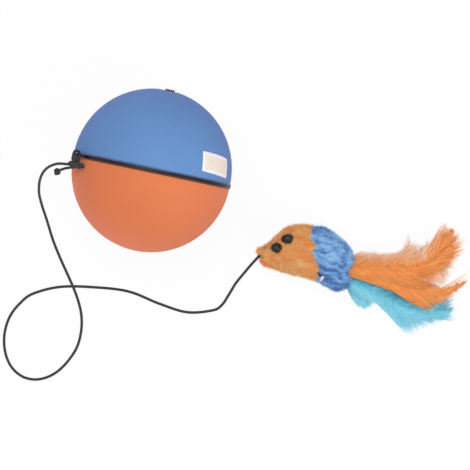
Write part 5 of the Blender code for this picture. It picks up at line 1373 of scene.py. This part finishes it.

# %% [markdown]
# ### Turquoise bunches
# The long turquoise bunch lies lowest and spreads over the floor. The short one hangs at its root. Quills
# and edges were drawn over the photographed outline, in millimetres. They start inside the mouse,
# where they are sewn.

# %% Turquoise bunches
LONG_SPINE = [(110.8, -35.3, 7.2), (119.6, -36.7, 5.1), (129.8, -38.9, 3.0), (138.9, -41.8, 1.9),
              (148.1, -44.7, 1.4), (156.8, -45.0, 1.2), (164.9, -42.8, 1.1), (170.0, -39.6, 1.0)]
LONG_NEAR = [(112.7, -39.2), (118.7, -42.3), (127.0, -43.7), (135.5, -45.9), (142.0, -51.4), (149.7, -56.2),
             (157.6, -51.3), (165.7, -46.4), (171.4, -44.6), (171.6, -42.0), (170.6, -39.6)]
LONG_FAR = [(111.1, -30.5), (119.6, -30.3), (129.4, -31.0), (139.6, -33.7), (148.9, -37.1), (157.7, -37.9),
            (165.3, -34.6), (169.2, -32.6), (170.4, -35.4), (170.6, -38.2)]
LONG_WISPS = [(157.0, -51.4, 0.6, 24, 0.7), (174.7, -43.7, 0.75, 10, 0.45), (172.0, -38.1, 0.8, 12, 0.8),
              (169.9, -33.2, 0.75, 26, 0.8), (149.3, -55.2, 0.53, 30, 0.8), (153.3, -56.5, 0.55, 14, 0.45),
              (155.6, -54.9, 0.6, 14, 0.45), (163.5, -49.0, 0.7, 20, 0.6), (167.7, -45.9, 0.7, 14, 0.45),
              (171.4, -35.5, 0.78, 10, 0.8)]
SHORT_SPINE = [(111.0, -34.5, 5.4), (115.5, -38.6, 3.4), (119.6, -42.2, 1.9), (123.0, -45.9, 1.0)]
SHORT_NEAR = [(112.4, -37.1), (114.5, -40.7), (117.7, -44.9), (120.8, -48.0), (124.3, -48.3)]
SHORT_FAR = [(118.4, -34.0), (124.9, -37.7), (128.6, -42.0), (129.0, -46.0), (125.6, -48.2)]
SHORT_WISPS = [(120.0, -46.3, 0.5, 14, 0.45), (125.4, -48.9, 0.7, 14, 0.45), (128.2, -46.7, 0.8, 20, 0.7),
               (126.7, -44.9, 0.8, 20, 0.7)]

# The long bunch's far edge lies under the orange and gets painted shadow: its paleness is below zero.
feather("turquoise_long", "feather_blue_long", LONG_SPINE,
        ((LONG_NEAR, (0.7, 0.6, 0.6), EVEN), (LONG_FAR, (-0.9, -0.9, -0.2), EVEN)),
        LONG_WISPS, 2300, TURQUOISE_FEATHER, 21, thin=1.55)
feather("turquoise_short", "feather_blue_short", SHORT_SPINE,
        ((SHORT_NEAR, (0.6, 0.6, 0.6), EVEN), (SHORT_FAR, (0.5, 0.5, 0.5), EVEN)),
        SHORT_WISPS, 700, TURQUOISE_FEATHER, 22)

# %% [markdown]
# ### Orange bunches
# The upper orange bunch has a broad blunt end that curls up, and pale down along its far side. The lower
# one ends in long curved hairs. Both lie over the turquoise, and their near edge casts the dark line
# between the colours, which painted shadow along the long turquoise bunch's far edge deepens.

# %% Orange bunches
UPPER_SPINE = [(109.1, -29.8, 12.0), (117.7, -27.4, 12.2), (129.1, -25.6, 12.6), (140.4, -23.2, 12.0),
               (150.4, -19.5, 9.8), (156.2, -14.0, 6.5), (159.3, -5.9, 4.0), (161.8, 2.0, 2.6)]
UPPER_FAR = [(108.5, -24.5), (112.4, -22.4), (116.5, -19.1), (122.2, -18.0), (129.1, -17.6), (136.0, -15.4),
             (141.2, -11.8), (146.6, -9.4), (151.5, -8.9), (153.2, -4.4), (155.7, 3.6), (159.0, 3.6),
             (161.6, 2.2)]
UPPER_NEAR = [(111.5, -33.6), (119.9, -32.9), (130.6, -32.8), (142.4, -32.5), (150.7, -31.3), (155.9, -27.4),
              (159.2, -21.9), (163.0, -18.2), (166.5, -14.6), (169.0, -7.5), (169.0, -3.0), (166.0, -0.2),
              (162.6, 1.6)]
UPPER_WISPS = [(167.7, -17.5, 0.66, 24, 0.6), (165.3, -21.8, 0.62, 90, 1.1), (162.4, -25.2, 0.58, 230, 1.4),
               (163.7, -18.9, 0.64, 110, 1.3), (160.2, -24.4, 0.6, 230, 1.5), (163.7, -26.6, 0.58, 150, 1.2),
               (158.2, -27.6, 0.56, 200, 1.4), (139.1, -5.0, 0.46, 26, 0.4), (142.8, -7.7, 0.5, 36, 0.7),
               (139.3, -10.1, 0.46, 50, 1.0), (149.5, -5.0, 0.6, 24, 0.4), (146.1, -9.2, 0.58, 30, 0.9),
               (116.6, -19.6, 0.1, 14, 0.45), (166.8, -0.6, 0.8, 24, 0.7)]
LOWER_SPINE = [(109.5, -31.8, 9.3), (119.4, -30.3, 8.7), (130.1, -30.2, 7.2), (141.0, -31.1, 5.1),
               (151.0, -32.8, 3.4), (159.7, -32.6, 2.3), (167.6, -29.7, 1.6), (174.4, -22.6, 1.4)]
LOWER_FAR = [(109.2, -27.6), (118.2, -24.6), (129.7, -23.3), (140.4, -23.2), (149.4, -25.3), (157.0, -28.0),
             (163.5, -29.6), (169.4, -28.4), (173.4, -24.4), (174.5, -22.9)]
LOWER_NEAR = [(111.6, -34.1), (121.1, -33.4), (129.9, -34.5), (140.0, -36.7), (149.3, -40.1), (158.4, -42.5),
              (164.0, -38.4), (169.6, -31.5), (173.6, -25.5), (174.6, -23.4)]
LOWER_WISPS = [(174.5, -16.7, 0.8, 5, 0.4), (176.0, -21.7, 0.8, 8, 0.45), (172.4, -19.8, 0.75, 6, 0.45),
               (172.7, -28.8, 0.7, 8, 0.45), (167.7, -33.1, 0.7, 14, 0.45), (170.8, -24.9, 0.75, 8, 0.45),
               (158.5, -27.5, 0.5, 60, 1.0), (162.4, -28.3, 0.55, 50, 0.9)]

feather("orange_lower", "feather_orange_lower", LOWER_SPINE,
        ((LOWER_FAR, (0.4, 0.5, 0.5), EVEN), (LOWER_NEAR, (0.1, 0.5, 0.3), EVEN)),
        LOWER_WISPS, 2300, ORANGE_FEATHER, 23, thin=1.7)
feather("orange_upper", "feather_orange_upper", UPPER_SPINE,
        ((UPPER_FAR, (0.95, 1.3, 0.3), (0.76, 0.7, 1.0)), (UPPER_NEAR, (0.3, 0.5, 0.45), EVEN)),
        UPPER_WISPS, 2600, ORANGE_FEATHER, 24)

# %% [markdown]
# ## Floor
# The toy lies on a plain white sheet. Camera rays see the sheet almost at full white, with the object's
# soft shadow kept in it, while the object itself is lit at a plain level. The room further down needs the
# same test of a ray's path, so a small function adds its nodes to either tree.

# %% Floor
SHEET_SIZE = 3.0
SHEET_GLOW = 0.94
FIBRE_SIZE = 2 * MM
WHITE = (1.0, 1.0, 1.0, 1.0)


def seen_by_camera(tree):
    """One for rays from the camera, also by way of a reflection or through something clear, and else zero."""
    ray = node(tree, "ShaderNodeLightPath")
    indirect = maths(tree, "MAXIMUM", ray.outputs["Is Glossy Ray"], ray.outputs["Is Transmission Ray"])
    return maths(tree, "MAXIMUM", ray.outputs["Is Camera Ray"], indirect)


def floor_material():
    """White sheet that keeps a faint shadow in the picture."""
    made, tree, shader = new_material("white_sheet", Roughness=0.9, Specular_IOR_Level=0.1)
    seen_by = seen_by_camera(tree)
    paper = mixed(tree, noise(tree, 1 / FIBRE_SIZE, 3.0), seen(204, 176, 198), seen(212, 184, 206))
    feed(tree, shader, Base_Color=mixed(tree, seen_by, paper, seen(252, 252, 252)))
    glow = node(tree, "ShaderNodeEmission", {"Color": WHITE, "Strength": 1.0}).outputs[0]
    share = maths(tree, "MULTIPLY", seen_by, SHEET_GLOW)
    blend = node(tree, "ShaderNodeMixShader", {0: share, 1: shader.outputs[0], 2: glow}).outputs[0]
    tree.links.new(blend, tree.nodes["Material Output"].inputs["Surface"])
    return made


half_sheet = SHEET_SIZE / 2
sheet_corners = [(x * half_sheet, y * half_sheet, 0.0) for x, y in ((-1, -1), (1, -1), (1, 1), (-1, 1))]
sheet_mesh = bpy.data.meshes.new("white_sheet")
sheet_mesh.from_pydata(sheet_corners, [], [(0, 1, 2, 3)])
sheet_mesh.materials.append(floor_material())
white_sheet = linked("white_sheet", sheet_mesh)
print("sheet", SHEET_SIZE, "m wide")

# %% [markdown]
# ## Lamps and room
# One broad lamp above gives a gentle falloff towards the ball's sides, a smaller one fills from the right
# on the near side, and the world lights the rest. The camera sees a white room. The room's light is faintly
# pink and the lamps' light faintly green, which tints the toy's shaded and its lit sides a little.

# %% Lamps and world
LAMP_COLOUR = (0.95, 1.03, 1.0)
ROOM_COLOUR = (1.0, 0.8, 0.96, 1.0)
ROOM_STRENGTH = 0.52
TOY_MIDDLE = (*SHOT_CENTRE, 0.02)


def soft_lamp(name, place, size, watts):
    """Square lamp that faces the toy and stays out of the picture."""
    data = bpy.data.lights.new(name, "AREA")
    data.size = size
    data.energy = watts
    data.color = LAMP_COLOUR
    made = linked(name, data)
    made.location = place
    made.rotation_euler = (Vector(place) - Vector(TOY_MIDDLE)).to_track_quat("Z", "Y").to_euler()
    made.visible_camera = False


soft_lamp("top_lamp", (-0.25, 0.35, 1.6), 1.2, 13.6)
soft_lamp("fill_lamp", (1.1, -0.7, 0.9), 0.9, 7.0)

world = bpy.data.worlds.new("white_room")
bpy.context.scene.world = world
world.use_nodes = True
room = world.node_tree
for item in list(room.nodes):
    room.nodes.remove(item)
soft = node(room, "ShaderNodeBackground", {"Color": ROOM_COLOUR, "Strength": ROOM_STRENGTH}).outputs[0]
plain = node(room, "ShaderNodeBackground", {"Color": WHITE, "Strength": 1.0}).outputs[0]
blend = node(room, "ShaderNodeMixShader", {0: seen_by_camera(room), 1: soft, 2: plain}).outputs[0]
node(room, "ShaderNodeOutputWorld", {"Surface": blend})
print("lamps and world ready")
